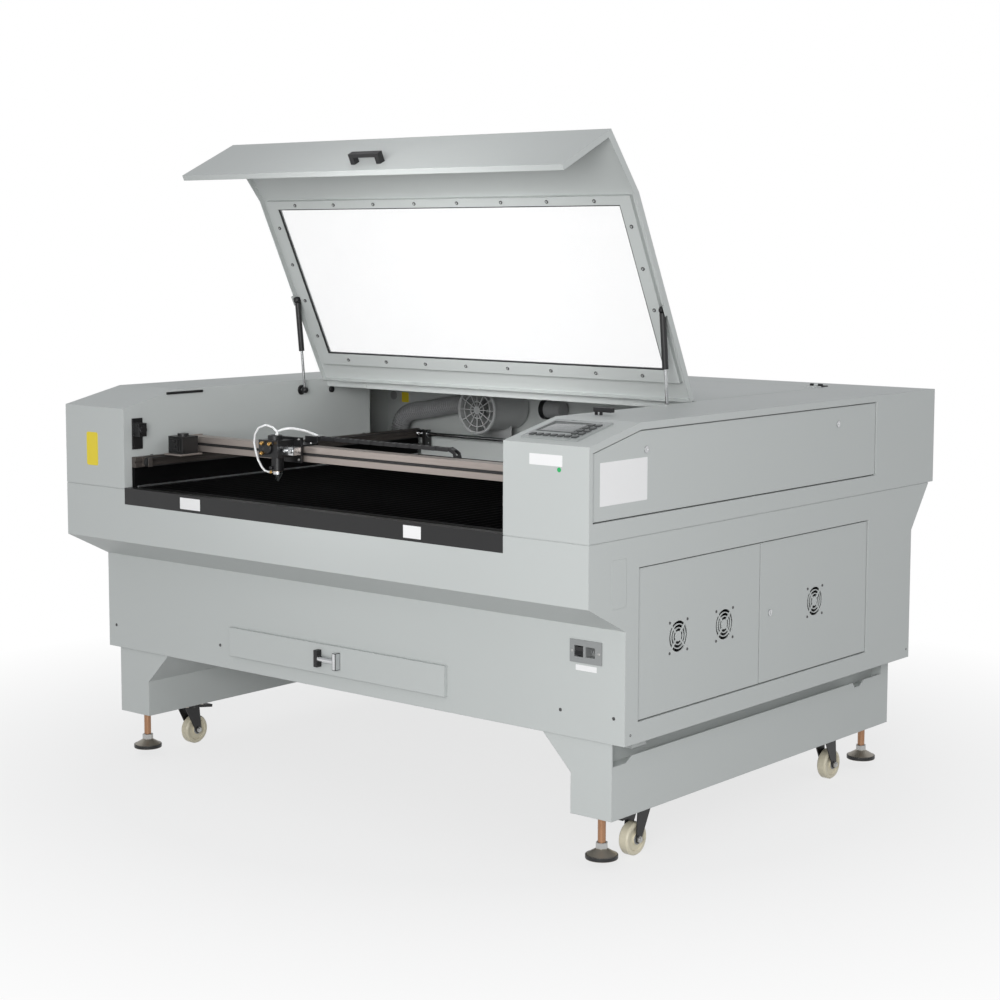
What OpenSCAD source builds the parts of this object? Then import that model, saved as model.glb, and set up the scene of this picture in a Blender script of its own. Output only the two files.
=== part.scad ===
// Flat-bed laser engraving machine on two skid beams, with its glazed lid open.
// Millimetres. X is the width, +Y points to the back, Z is up from the floor.
// Most pieces are drawn with Y counted from the front face; placed() centres the depth.

/* [Body] */
// Overall width
body_w = 1800; // [1760:5:1900]
// Depth of the upper body
body_d = 1571; // [1560:1:1650]
// Height of the flat top
top_z = 1039; // [1030:1:1080]
// Drop of the console tops from the flat top to their front edge
slope_drop = 42; // [30:1:50]
// Depth of the sloping console tops
slope_d = 190; // [170:1:192]
// Height of the seam between the cabinet and the upper body
seam_z = 783; // [775:1:788]
// Width of the opening between the two consoles
opening_w = 1314; // [1290:2:1320]
// Depth of the inner console walls
console_wall_d = 950; // [850:5:1050]
// Thickness of the sheet metal
sheet = 3; // [2.5:0.1:3.5]

/* [Cabinet] */
// Height of the cabinet floor's underside
lower_bottom_z = 307; // [300:1:312]
// Set-back of the lower front from the fascia
lower_front_y = 138; // [120:1:150]
// Height where the chin meets the lower front
chin_bottom_z = 571; // [560:1:585]
// Height where the chin meets the fascia
chin_top_z = 639; // [625:1:655]
// Set-back of the lower rear wall from the rear of the upper body
lower_rear_in = 117; // [100:1:125]
// Step under the rear of the upper body
rear_step = 24; // [15:1:30]
// Height where the rear slope meets the lower rear wall
rear_slope_z = 659; // [640:1:680]
// Distance of the electrical bay's partition from the right wall
bay_w = 300; // [280:5:330]
// Radius of the fume outlet at the rear
outlet_r = 75; // [60:1:80]

/* [Side doors] */
// Distance of the door pair's front edge from the front face
doors_y = 191; // [180:1:200]
// Width of the front door
door_front_w = 504; // [490:1:510]
// Width of the rear door
door_rear_w = 518; // [505:1:525]
// Height of the doors' lower edge above the cabinet floor
doors_lift = 52; // [45:1:60]
// Height of the doors
doors_h = 349; // [330:1:355]
// Gap round a door or panel
door_gap = 3; // [2.5:0.1:4]
// Depth of a door's face behind the side wall
door_inset = 3; // [3:0.1:4]
// Depth of the rebate that a door sits in
rebate_d = 15; // [14:0.5:18]
// Width of the lip that a door closes on
rebate_lip = 12; // [10:0.5:14]
// Length of the upper access panel
panel_l = 1232; // [1200:1:1250]
// Distance of the access panel from the front face
panel_y = 17; // [15:1:25]
// Height of the access panel
panel_h = 189; // [180:1:195]
// Distance of the access panel above the seam
panel_lift = 47; // [40:1:50]

/* [Fans] */
// Side of the square fan frame
fan_size = 80; // [70:1:92]
// Depth of the fan frame
fan_depth = 25; // [20:1:30]
// Distances of the three fan centres from the front face
fan_places = [350, 542, 957];
// Number of fan blades
fan_blades = 7; // [5:1:9]

/* [Lid] */
// Clearance between the lid and the consoles, on each side
lid_gap = 4; // [3:0.5:6]
// Distance of the lid hinge axis from the front face
hinge_y = 765; // [755:1:775]
// Angle that the lid stands open at
lid_open = 64.5; // [55:0.5:70]
// Set-back of the closed lid's lip from the front face
lip_y = 8; // [5:1:12]
// Gap below the closed lid's lip
lip_lift = 9; // [7:1:12]
// Depth of the lid's edge flanges
lid_flange = 15; // [12:1:15]
// Thickness of the lid's sheet
lid_sheet = 2; // [1.5:0.1:2.5]
// Width of the glazed window
window_w = 1192; // [1150:2:1200]
// Distance of the window's front edge behind the bend of the lid
window_y = 27; // [25:1:40]
// Depth of the window, front to back
window_d = 456; // [420:1:460]
// Width of the window's retaining frame
retainer_w = 36; // [30:1:36]
// Thickness of the window pane
pane_t = 5; // [4:0.5:6]
// Number of retaining screws along the window
retainer_screws = 8; // [5:1:12]

/* [Struts] */
// Radius of the gas cylinder
strut_r = 8; // [7:0.5:8.5]
// Radius of the piston rod
strut_rod_r = 4; // [3:0.5:4.5]
// Length of the gas cylinder
strut_l = 148; // [135:1:150]
// Distance of the strut's foot in front of the hinge
strut_foot_y = 104; // [100:1:110]
// Depth of the strut's foot below the flat top
strut_foot_drop = 27; // [26:1:32]
// Distance of the strut's lid end from the hinge, along the lid
strut_arm = 266; // [255:1:270]
// Depth of the strut's lid end below the lid's top
strut_drop = 16.5; // [15:0.5:18]

/* [Rear hatch] */
// Width of the hatch
hatch_w = 1280; // [1240:5:1290]
// Distance of the hatch behind the lid hinge
hatch_gap = 37; // [35:1:45]
// Depth of the hatch
hatch_d = 623; // [600:1:640]

/* [Bed] */
// Distance of the bed frame from the front face
bed_y = 32; // [30:1:36]
// Depth kept behind the bed for the duct and the laser tube
rear_room = 411; // [405:1:450]
// Width of the bed frame's bars
bed_bar = 25; // [20:1:30]
// Depth of the bed frame
bed_h = 40; // [35:1:42]
// Height of the support blades
blade_h = 20; // [15:1:22]
// Thickness of a support blade
blade_t = 2; // [1.5:0.1:3]
// Spacing of the support blades
blade_pitch = 30; // [25:1:40]
// Height of the black apron at the front
apron_h = 42; // [36:1:48]

/* [Motion] */
// Width of the two long rails
rail_w = 15; // [12:0.5:16]
// Height of the two long rails
rail_h = 28; // [24:1:30]
// Height of the rail supports above the seam
rail_lift = 55; // [50:1:58]
// Side of the cross beam's square section
beam_size = 40; // [36:1:44]
// Distance of the cross beam's front from the front face
beam_y = 205; // [204:1:250]
// Position of the carriage along X
carriage_x = -225; // [-260:5:200]
// Width of the carriage plate
carriage_w = 90; // [84:1:110]
// Radius of the drive pulleys
pulley_r = 12; // [10:0.5:13]
// Radius of the drive shaft
shaft_r = 6; // [5:0.5:7]
// Radius of the lens tube
lens_r = 11; // [9:0.5:12]
// Pitch of the cable chain's links
chain_pitch = 22; // [20:1:26]
// Bend radius of the cable chain
chain_r = 26; // [25:1:30]

/* [Laser and fume duct] */
// Length of the laser tube
tube_l = 1450; // [1300:10:1500]
// Radius of the laser tube
tube_r = 40; // [30:1:42]
// Radius of the fume inlet
duct_r = 67; // [60:1:72]
// Radius of the corrugated hose
hose_r = 28; // [24:1:34]
// Pitch of the hose's corrugations
hose_pitch = 15; // [12:1:18]

/* [Base] */
// Distance of the skid beams in from the sides
beam_inset = 40; // [30:1:50]
// Width of a skid beam's leg
beam_leg_w = 118; // [110:1:130]
// Width across a skid beam and its gusset
beam_gusset_w = 202; // [180:1:220]
// Height of a skid beam
beam_h = 182; // [176:1:182]
// Height of the leg up to the gusset
beam_leg_h = 97; // [85:1:110]
// Distance of the beams' front ends from the front face
beam_front_y = 144; // [140:1:150]
// Length of the beams
beam_l = 1270; // [1250:5:1290]
// Plate thickness of the beams
beam_plate = 4; // [3:0.5:6]
// Radius of a levelling foot's pad
foot_r = 38; // [32:1:45]
// Radius of a levelling foot's screw
foot_screw_r = 9; // [6:0.5:10]
// Height of the levelling feet's pads above the floor
foot_lift = 20; // [0:1:30]
// Distance of the feet from the beams' ends
foot_end = 39; // [36:1:60]
// Radius of a caster wheel
wheel_r = 40; // [36:0.5:41]
// Width of a caster wheel
wheel_w = 28; // [24:1:32]
// Distance of the front swivel axes from the beams' front ends
caster_front = 190; // [170:1:260]
// Distance of the rear swivel axes from the beams' rear ends
caster_rear = 235; // [170:1:260]
// Trail of the caster wheels behind their swivel axes
caster_trail = 26; // [22:1:30]

/* [Drawer] */
// Width of the drawer front
drawer_w = 761; // [700:1:800]
// Height of the drawer front
drawer_h = 76; // [70:1:84]
// Depth of the drawer box
drawer_d = 450; // [400:5:500]
// Position of the drawer's middle along X
drawer_x = -12; // [-40:1:40]
// Distance of the drawer front above the cabinet's lower edge
drawer_lift = 39; // [36:1:46]

/* [Hidden] */
$fn = 48;
e = 1;              // overshoot of cuts
touch = 0.3;        // clearance of pieces that all but touch
fit = 0.05;         // radial clearance of a running fit
LEFT = -1;
RIGHT = 1;
FRONT = 0;
REAR = 1;

// Colours
grey_paint = [0.77, 0.79, 0.78];
dark_metal = [0.12, 0.12, 0.13];
bare_metal = [0.72, 0.73, 0.74];
bronze_alloy = [0.66, 0.58, 0.50];

// Body lines
half_w = body_w / 2;
console_in = opening_w / 2;
console_front_z = top_z - slope_drop;
bed_l = body_d - bed_y - rear_room;
lower_rear_y = body_d - lower_rear_in;
seam_rear_y = body_d - rear_step;
cabinet_side = [[lower_front_y, lower_bottom_z], [lower_rear_y, lower_bottom_z],
    [lower_rear_y, rear_slope_z], [seam_rear_y, seam_z], [0, seam_z], [0, chin_top_z],
    [lower_front_y, chin_bottom_z]];
upper_side = [[0, seam_z], [body_d, seam_z], [body_d, top_z], [slope_d, top_z], [0, console_front_z]];
bay_x = half_w - bay_w;
groove = 1.5;

// Well for the bed in the cabinet's deck
well_x = console_in - 9;
well_front_y = bed_y - e;
well_rear_y = bed_y + bed_l + e;
ledge_z = seam_z + 2 - bed_h;

// Doors and access panel
doors_z = lower_bottom_z + doors_lift;
door_split = doors_y + door_front_w;
doors_end = door_split + door_gap + door_rear_w;
door_front_edge = rect(doors_y, doors_z, door_split, doors_z + doors_h);
door_rear_edge = rect(door_split + door_gap, doors_z, doors_end, doors_z + doors_h);
doors_edge = rect(doors_y, doors_z, doors_end, doors_z + doors_h);
panel_z = seam_z + panel_lift;
panel_top_z = panel_z + panel_h;
panel_slope_y = slope_d + 2;
panel_front_top_z = panel_top_z - (panel_slope_y - panel_y) * slope_drop / slope_d;
panel_edge = [[panel_y, panel_z], [panel_y + panel_l, panel_z], [panel_y + panel_l, panel_top_z],
    [panel_slope_y, panel_top_z], [panel_y, panel_front_top_z]];
face_x = half_w - door_inset;
lip_x = half_w - rebate_d;
pivot_r = 2;
pivot_back = sheet + pivot_r + 0.5;
pivot_x = face_x - pivot_back;
pivot_l = 20;
door_pivot_ends = [40, doors_h - 40];
panel_pivot_ends = [60, panel_l - 60];
fan_z = doors_z + doors_h / 2 - 4;
fan_hole_r = fan_size / 2 - 3;
lock_r = 8;
door_lock_y = door_split + door_gap + 46;
panel_lock_places = [panel_slope_y + 23, panel_y + panel_l - 191];
panel_lock_z = panel_top_z - 43;

// Lid, drawn closed and turned open about its hinge
lid_half = console_in - lid_gap;
hinge_r = 4;
hinge_pin_r = 2;
hinge_z = top_z + 2;
hinge_w = 90;
hinge_x = lid_half - 110;
lid_rear_y = hinge_y - hinge_r - 0.5;
cover_y = hinge_y + hinge_r + 1;
lip_z = seam_z + lip_lift;
lid_side = [[lip_y, lip_z], [lip_y + lid_sheet, lip_z], [lip_y + lid_sheet, lip_top_z(lid_sheet)],
    [slope_d + lid_sheet * 0.1, top_z - lid_sheet], [lid_rear_y, top_z - lid_sheet],
    [lid_rear_y, top_z], [slope_d, top_z], [lip_y, lip_top_z(0)]];
window_front = slope_d + window_y;
pane_top_z = top_z - lid_sheet;
pane_lap = 14;
retainer_z = pane_top_z - pane_t;
retainer_t = 6;

// Struts
strut_x = lid_half - lid_sheet - strut_r - 1.5;
strut_foot = [hinge_y - strut_foot_y, top_z - strut_foot_drop];
strut_head = turned([hinge_y - strut_arm, top_z - strut_drop]);
strut_run = strut_head - strut_foot;
strut_angle = atan2(strut_run[1], strut_run[0]);
strut_eye_r = 8;

// Hatch
hatch_y = hinge_y + hatch_gap;
hatch_rear = hatch_y + hatch_d;
hatch_edge = 3;
hatch_drop = 12;
hatch_hinge_x = hatch_w / 2 - 30;
hatch_hinge_y = hatch_rear + hatch_edge / 2;
hatch_hinge_z = top_z + hinge_r + 1;
hatch_leaf_w = 38;

// Motion
rail_x = console_in - e;
rail_z = seam_z + rail_lift;
rail_top_z = rail_z + rail_h;
rail_front_y = lip_y + lid_flange + 3;
rail_rear_y = bed_y + bed_l - 6;
support_x = well_x - 2;
belt_x = rail_x - rail_w - 17;
belt_w = 10;
belt_t = 1.5;
shaft_y = rail_rear_y - 10;
shaft_z = rail_top_z - pulley_r - 2;
idler_y = rail_front_y + 30;
beam_z = rail_top_z + 6;
beam_half = rail_x - rail_w - 17;
beam_top_z = beam_z + beam_size;
post_w = 14;
post_x = belt_x - 22;
motor_size = 57;
motor_l = 76;

// Carriage and head, placed from the beam's front
slide_gap = 0.3;
plate_t = 8;
carriage_y = beam_y - 15;
head_y = carriage_y - 60;
head_z = beam_z + 13;
head_h = 55;
tube_axis = [carriage_x - 5, head_y + 24];
holder_r = lens_r + 5;
holder_z = beam_z - 22;
nozzle_z = seam_z + 40;
collar_z = 18;
barb_z = collar_z + 3;
barb_l = lens_r + 14;
chain_y = beam_y + beam_size + 8;
chain_w = 20;
chain_h = 10;
chain_low_z = beam_z + chain_h / 2 + touch;
chain_links = 21;
chain_right = carriage_x + carriage_w / 2 - 14 + chain_links * chain_pitch;

// Duct, tube and shaft places
duct_x = -console_in + 287;
duct_y = rail_rear_y - 44;
duct_l = 165;
duct_z = top_z - duct_r - 32;
hose_y = duct_y + duct_l - hose_r - 12;
hose_bend_r = 70;
hose_left = -half_w + 205;
tube_y = body_d - 170;
tube_z = seam_z + 120;
tube_wall_y = duct_y + duct_l + 12;

// Base
beam_bottom_z = lower_bottom_z - beam_h;
beam_out = half_w - beam_inset;
beam_leg_in = beam_out - beam_leg_w;
beam_gusset_in = beam_out - beam_gusset_w;
beam_rear_y = beam_front_y + beam_l;
foot_x = beam_out - beam_leg_w / 2;
foot_places = [beam_front_y + foot_end + 4, beam_rear_y - foot_end + 4];
caster_places = [beam_front_y + caster_front, beam_rear_y - caster_rear];
pad_t = 6;
caster_bearing_z = beam_bottom_z - 10;
axle_z = wheel_r;
foot_pad_h = 10;
foot_dome_h = 14;
axle_r = 5;

// Drawer and mains plate
drawer_z = lower_bottom_z + drawer_lift;
drawer_wall = 2;
drawer_front_t = 12;
drawer_box_w = drawer_w - 30;
drawer_box_h = drawer_h - 14;
runner_gap = 1;
mains_x = half_w - 110;
mains_w = 91;
mains_h = 53;
mains_z = chin_bottom_z - 60;

// ---------- Helpers ----------

function rect(y0, z0, y1, z1) = [[y0, z0], [y1, z0], [y1, z1], [y0, z1]];
function unit(v) = v / norm(v);
function left_of(v) = [-v[1], v[0]];

// Corner q of an outline that runs anticlockwise, moved inwards by t
function inset_corner(p, q, r, t) = let (a = left_of(unit(q - p)), b = left_of(unit(r - q)))
    q + (a + b) * t / (1 + a * b);
function inset(pts, t) = let (n = len(pts))
    [for (i = [0 : n - 1]) inset_corner(pts[(i + n - 1) % n], pts[i], pts[(i + 1) % n], t)];

// Height of the lid's slope above the lip, t below its outer face
function lip_top_z(t) = console_front_z + lip_y * slope_drop / slope_d - t;

// A point of the closed lid, turned open about the hinge
function turned(p) = let (d = p - [hinge_y, hinge_z])
    [hinge_y + cos(lid_open) * d[0] + sin(lid_open) * d[1],
     hinge_z - sin(lid_open) * d[0] + cos(lid_open) * d[1]];

module placed() { translate([0, -body_d / 2, 0]) children(); }

module slab(a, b) { translate(a) cube(b - a); }

// Outline in Y and Z, drawn out along X from x0 to x1
module profile_x(pts, x0, x1) {
    translate([x0, 0, 0]) rotate([90, 0, 90]) linear_extrude(x1 - x0) polygon(pts);
}

module both_sides() {
    children();
    mirror([1, 0, 0]) children();
}

// Rods along X and Y, from the current origin
module rod_x(r, l) { rotate([0, 90, 0]) cylinder(r = r, h = l); }
module rod_y(r, l) { rotate([-90, 0, 0]) cylinder(r = r, h = l); }

module on_lid() {
    translate([0, hinge_y, hinge_z]) rotate([-lid_open, 0, 0]) translate([0, -hinge_y, -hinge_z])
        children();
}

// Rebated frame behind a flush door: edge is its outline, holes the outlines of the doors in it
module rebate(edge, holes) {
    difference() {
        profile_x(inset(edge, -(door_gap + sheet)), lip_x - sheet, half_w - sheet / 2);
        profile_x(inset(edge, -door_gap), lip_x, half_w + e);
        for (hole = holes) profile_x(inset(hole, rebate_lip), lip_x - sheet - e, half_w);
    }
}

// Pin pivot of a flush door. Z runs along the axis, X outwards and Y into the door.
module pivot_pin() {
    translate([0, 0, -pivot_l / 2 - 4]) cylinder(r = pivot_r, h = pivot_l + 8);
    for (s = [-1, 1]) translate([0, 0, s * (pivot_l / 2 + 2.5)]) {
        slab([lip_x - pivot_x - sheet, -pivot_r + 0.2, -1.5], [0, 2 * pivot_r, 1.5]);
        slab([-e, 0, -1.5], [pivot_r - 0.2, 2 * pivot_r, 1.5]);
    }
}

module pivot_knuckle() {
    translate([0, 0, -pivot_l / 2]) cylinder(r = 2 * pivot_r, h = pivot_l);
}

module pivot_bore() {
    translate([0, 0, -pivot_l / 2 - 5]) cylinder(r = pivot_r + fit, h = pivot_l + 10);
}

module at_front_door_pivots() {
    for (z = door_pivot_ends) translate([pivot_x, doors_y + pivot_back, doors_z + z]) children();
}

module at_rear_door_pivots() {
    for (z = door_pivot_ends) translate([pivot_x, doors_end - pivot_back, doors_z + z]) mirror([0, 1, 0])
        children();
}

module at_panel_pivots() {
    for (y = panel_pivot_ends) translate([pivot_x, panel_y + y, panel_z + pivot_back]) rotate([90, 0, 0])
        children();
}

// Quarter-turn lock in a side door. X runs outwards from the door's face.
module cam_lock(cam_l) {
    difference() {
        translate([-24, 0, 0]) rod_x(lock_r, 26);
        translate([0.8, -1, -5]) cube([2, 2, 10]);
    }
    translate([-24, -6, -6]) cube([3, 12, 6 + cam_l]);
}

module lock_bore() { translate([-20, 0, 0]) rod_x(lock_r + fit, 30); }

// Pressed finger grille of a fan: the slots that are cut from the sheet. X runs outwards.
module grille_slots() {
    for (r = [12, 21, 30]) {
        difference() {
            translate([-2 * sheet, 0, 0]) rod_x(min(r + 6.5, fan_hole_r), 3 * sheet);
            translate([-3 * sheet, 0, 0]) rod_x(r, 5 * sheet);
            for (a = [45, 135]) rotate([a, 0, 0]) translate([-3 * sheet, -fan_size, -2])
                cube([5 * sheet, 2 * fan_size, 4]);
        }
    }
}

// Square fan frame with its hub spider, inner face at the door
module fan_frame() {
    difference() {
        translate([-fan_depth, -fan_size / 2, -fan_size / 2]) cube([fan_depth, fan_size, fan_size]);
        translate([-fan_depth - e, 0, 0]) rod_x(fan_hole_r, fan_depth + 2 * e);
        for (y = [-1, 1]) for (z = [-1, 1]) {
            translate([-fan_depth - e, y * (fan_size / 2 - 4.25), z * (fan_size / 2 - 4.25)])
                rod_x(2.2, fan_depth + 2 * e);
        }
    }
    translate([-fan_depth, 0, 0]) rod_x(14, 5);
    translate([-fan_depth, 0, 0]) rod_x(1.5, fan_depth - 4);
    intersection() {
        for (a = [20 : 90 : 290]) rotate([a, 0, 0]) translate([-fan_depth, 0, -2.5]) cube([3, fan_size, 5]);
        translate([-fan_depth, 0, 0]) rod_x(fan_hole_r + e, 4);
    }
}

// Hub and pitched blades on the frame's pin
module fan_rotor() {
    hub_r = 16;
    hub_back = fan_depth - 6;
    difference() {
        union() {
            translate([-hub_back, 0, 0]) rod_x(hub_r, hub_back - 3);
            intersection() {
                translate([-hub_back + 1, 0, 0]) rod_x(fan_hole_r - 1.5, hub_back - 4);
                for (k = [0 : fan_blades - 1]) rotate([k * 360 / fan_blades, 0, 0])
                    translate([-hub_back / 2 - 1.5, -1, hub_r - 2]) rotate([0, 0, 52])
                        translate([-1, -16, 0])
                        cube([1.8, 32, fan_size]);
            }
        }
        translate([-fan_depth, 0, 0]) rod_x(1.5 + fit, fan_depth - 3.5);
        translate([-hub_back - e, 0, 0]) rod_x(hub_r - 2, 2);
    }
}

// ---------- Base ----------

function beam_outline() = [[beam_out, beam_bottom_z], [beam_out, lower_bottom_z],
    [beam_gusset_in, lower_bottom_z], [beam_leg_in, beam_bottom_z + beam_leg_h],
        [beam_leg_in, beam_bottom_z]];

// Edge of the outer plate under the cabinet: lower at a notch near each end
function gap_outline(z0) =
    let (y0 = beam_front_y + beam_plate, y1 = beam_rear_y - foot_end, z1 = z0 + notch_h)
    [[y0, z0], [y0 + 52, z0], [y0 + 77, z1], [y1 - 151, z1], [y1 - 141, z0], [y1 - 111, z0], [y1 - 91, z1],
        [y1, z1], [y1, lower_bottom_z + e], [y0, lower_bottom_z + e]];
gap_h = 41;
gap_in = 30;
notch_h = 14;

// Folded plate channel that is open below, with end plates, pads for the feet and
// casters, and a recessed gap under the cabinet
module base_beam(side) {
    floor_z = lower_bottom_z - gap_h - notch_h;
    y0 = beam_front_y + beam_plate;
    y1 = beam_rear_y - foot_end;
    color(grey_paint) placed() scale([side, 1, 1]) {
        difference() {
            union() {
                difference() {
                    translate([0, beam_rear_y, 0]) rotate([90, 0, 0]) linear_extrude(beam_l)
                        polygon(beam_outline());
                    translate([0, beam_rear_y - beam_plate, -beam_plate - e]) rotate([90, 0, 0])
                        linear_extrude(beam_l - 2 * beam_plate) polygon(inset(beam_outline(), beam_plate));
                    slab([beam_leg_in + beam_plate, y0, beam_bottom_z - e],
                        [beam_out - beam_plate, beam_rear_y - beam_plate, beam_bottom_z + beam_leg_h / 2]);
                }
                slab([beam_out - gap_in - beam_plate, y0 - e, floor_z - beam_plate],
                    [beam_out - e, y1 + beam_plate, lower_bottom_z - e]);
            }
            slab([beam_out - gap_in, y0, floor_z], [beam_out - beam_plate + e / 2, y1, lower_bottom_z + e]);
            profile_x(gap_outline(floor_z), beam_out - beam_plate, beam_out + e);
        }
        slab([beam_out - gap_in - e, y0 + 77, floor_z + 2 * notch_h],
            [beam_out - beam_plate, y0 + 135, lower_bottom_z]);
        for (y = concat(foot_places, caster_places)) {
            slab([beam_leg_in + e, y - 50 + pad_edge(y), beam_bottom_z],
                [beam_out - e, y + 50 + pad_edge(y), beam_bottom_z + pad_t]);
        }
    }
}

// Shift that keeps an end pad inside the beam
function pad_edge(y) = max(0, beam_front_y + e + 50 - y) - max(0, y + 50 - beam_rear_y + e);

module base_left() { base_beam(LEFT); }
module base_right() { base_beam(RIGHT); }

module levelling_feet() {
    nut_h = 14;
    nut_z = foot_pad_h + foot_dome_h;
    color(bronze_alloy) placed() {
        for (x = [-foot_x, foot_x]) for (y = foot_places) translate([x, y, foot_lift]) {
            cylinder(r = foot_r, h = foot_pad_h);
            translate([0, 0, foot_pad_h]) cylinder(r1 = foot_r - 1, r2 = foot_screw_r + 4, h = foot_dome_h);
            translate([0, 0, nut_z - e]) cylinder(r = foot_screw_r * 1.6, h = nut_h, $fn = 6);
            translate([0, 0, nut_z]) cylinder(r = foot_screw_r, h = beam_bottom_z - foot_lift - nut_z);
        }
    }
}

// ---------- Casters ----------

module caster_plates() {
    color(bare_metal) placed() {
        for (x = [-foot_x, foot_x]) for (y = caster_places) translate([x, y, 0]) {
            translate([-40, -35, beam_bottom_z - 4]) cube([80, 70, 4]);
            translate([0, 0, caster_bearing_z]) cylinder(r = 23, h = 7);
            translate([0, 0, caster_bearing_z - 12]) cylinder(r = 5, h = 13);
            for (i = [-1, 1]) for (j = [-1, 1]) translate([i * 31, j * 27, beam_bottom_z - 9])
                cylinder(r = 5.5, h = 6, $fn = 6);
        }
    }
}

// Trail of a wheel behind its swivel axis; the front right caster is turned to the front
function trail(side, row) = side == RIGHT && row == FRONT ? -caster_trail : caster_trail;

// Swivel fork with its axle; the front pair carries a brake pedal
module caster_fork(side, row) {
    crown_z = caster_bearing_z - 8;
    leg_x = wheel_w / 2 + 2;
    color(dark_metal) placed() translate([side * foot_x, caster_places[row], 0])
    scale([1, sign(trail(side, row)), 1]) {
        difference() {
            union() {
                translate([0, 0, crown_z]) cylinder(r = 24, h = 8 - touch);
                for (s = [-1, 1]) {
                    hull() {
                        translate([s * leg_x - (s < 0 ? 3 : 0), -20, crown_z]) cube([3, 50, 3]);
                        translate([s * leg_x - (s < 0 ? 3 : 0), caster_trail, axle_z])
                            rod_x(10, 3, $fn = 32);
                    }
                }
                if (row == FRONT) brake_pedal(crown_z, leg_x);
            }
            translate([0, 0, crown_z - e]) cylinder(r = 5 + fit, h = 12);
        }
        translate([-leg_x - 6, caster_trail, axle_z]) rod_x(axle_r, 2 * leg_x + 12);
    }
}

module brake_pedal(z, half) {
    translate([-half, 0, z]) cube([2 * half, caster_trail + 20, 3]);
    translate([-half + 2, caster_trail + 14, z - 5]) rotate([-8, 0, 0]) cube([2 * half - 4, 44, 8]);
}

module caster_wheel(side, row) {
    tread = [[wheel_r - 12, 5], [wheel_r - 10, 1], [wheel_r - 3, 1], [wheel_r, 5], [wheel_r, wheel_w - 5],
        [wheel_r - 3, wheel_w - 1], [wheel_r - 10, wheel_w - 1], [wheel_r - 12, wheel_w - 5]];
    bore = [[14, wheel_w - 4], [14, wheel_w], [axle_r + fit, wheel_w], [axle_r + fit, 0], [14, 0], [14, 4]];
    color([0.93, 0.90, 0.80]) placed()
        translate([side * foot_x - wheel_w / 2, caster_places[row] + trail(side, row), axle_z])
        rotate([0, 90, 0]) rotate_extrude($fn = 64) polygon(concat(tread, bore));
}

module caster_fork_front_left() { caster_fork(LEFT, FRONT); }
module caster_fork_front_right() { caster_fork(RIGHT, FRONT); }
module caster_fork_rear_left() { caster_fork(LEFT, REAR); }
module caster_fork_rear_right() { caster_fork(RIGHT, REAR); }
module caster_wheel_front_left() { caster_wheel(LEFT, FRONT); }
module caster_wheel_front_right() { caster_wheel(RIGHT, FRONT); }
module caster_wheel_rear_left() { caster_wheel(LEFT, REAR); }
module caster_wheel_rear_right() { caster_wheel(RIGHT, REAR); }

// ---------- Cabinet ----------

// One welded shell below the seam: floor, walls, chin, deck with the bed well, electrical bay
module cabinet() {
    color(grey_paint) placed() {
        difference() {
            profile_x(cabinet_side, -half_w, half_w);
            profile_x(inset(cabinet_side, sheet), -half_w + sheet, half_w - sheet);
            bed_well_cut();
            seam_groove();
            drawer_cut();
            mains_cut();
            rear_cuts();
            profile_x(inset(doors_edge, -door_gap), half_w - 2 * sheet, half_w + e);
            slab([-console_in, -e, seam_z - apron_h], [console_in, 2, seam_z + e]);
        }
        bed_well();
        rebate(doors_edge, [door_front_edge, door_rear_edge]);
        at_front_door_pivots() pivot_pin();
        at_rear_door_pivots() pivot_pin();
        electrical_bay();
        drawer_runners();
        rear_upstand();
        fume_outlet();
    }
}

module bed_well_cut() {
    slab([-well_x, well_front_y, seam_z - 2 * sheet], [well_x, well_rear_y, seam_z + e]);
}

// Walls and ledge that carry the bed frame
module bed_well() {
    difference() {
        slab([-well_x - sheet, well_front_y - sheet, ledge_z - sheet],
            [well_x + sheet, well_rear_y + sheet, seam_z - sheet / 2]);
        slab([-well_x, well_front_y, ledge_z], [well_x, well_rear_y, seam_z + e]);
        slab([-well_x + bed_bar - 5, well_front_y + bed_bar - 5, ledge_z - 2 * sheet],
            [well_x - bed_bar + 5, well_rear_y - bed_bar + 5, seam_z]);
    }
}

module seam_groove() {
    difference() {
        slab([-half_w - e, -e, seam_z - 2], [half_w + e, body_d, seam_z + e]);
        slab([-half_w + groove, groove, seam_z - sheet],
            [half_w - groove, seam_rear_y - groove - 1, seam_z + 2 * e]);
    }
}

module drawer_cut() {
    slab([drawer_x - drawer_box_w / 2 - 3, lower_front_y - e, drawer_z + 4],
        [drawer_x + drawer_box_w / 2 + 3, lower_front_y + 2 * sheet, drawer_z + drawer_h - 4]);
}

// Two angle runners that the drawer box slides on
module drawer_runners() {
    runner_top = drawer_z + 6 - touch;
    for (s = [-1, 1]) translate([drawer_x + s * drawer_box_w / 2, 0, 0]) {
        slab([min(0, s * sheet) + s * runner_gap, lower_front_y + sheet - 0.5, lower_bottom_z + sheet / 2],
            [max(0, s * sheet) + s * runner_gap, lower_front_y + drawer_d + 20, runner_top + 25]);
        slab([min(s * runner_gap * 2, -s * 15), lower_front_y + sheet - 0.5, runner_top - sheet],
            [max(s * runner_gap * 2, -s * 15), lower_front_y + drawer_d + 20, runner_top]);
    }
}

module mains_cut() {
    slab([mains_x - mains_w / 2 + 8, lower_front_y - e, mains_z - mains_h / 2 + 8],
        [mains_x + mains_w / 2 - 8, lower_front_y + 2 * sheet, mains_z + mains_h / 2 - 8]);
}

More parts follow.
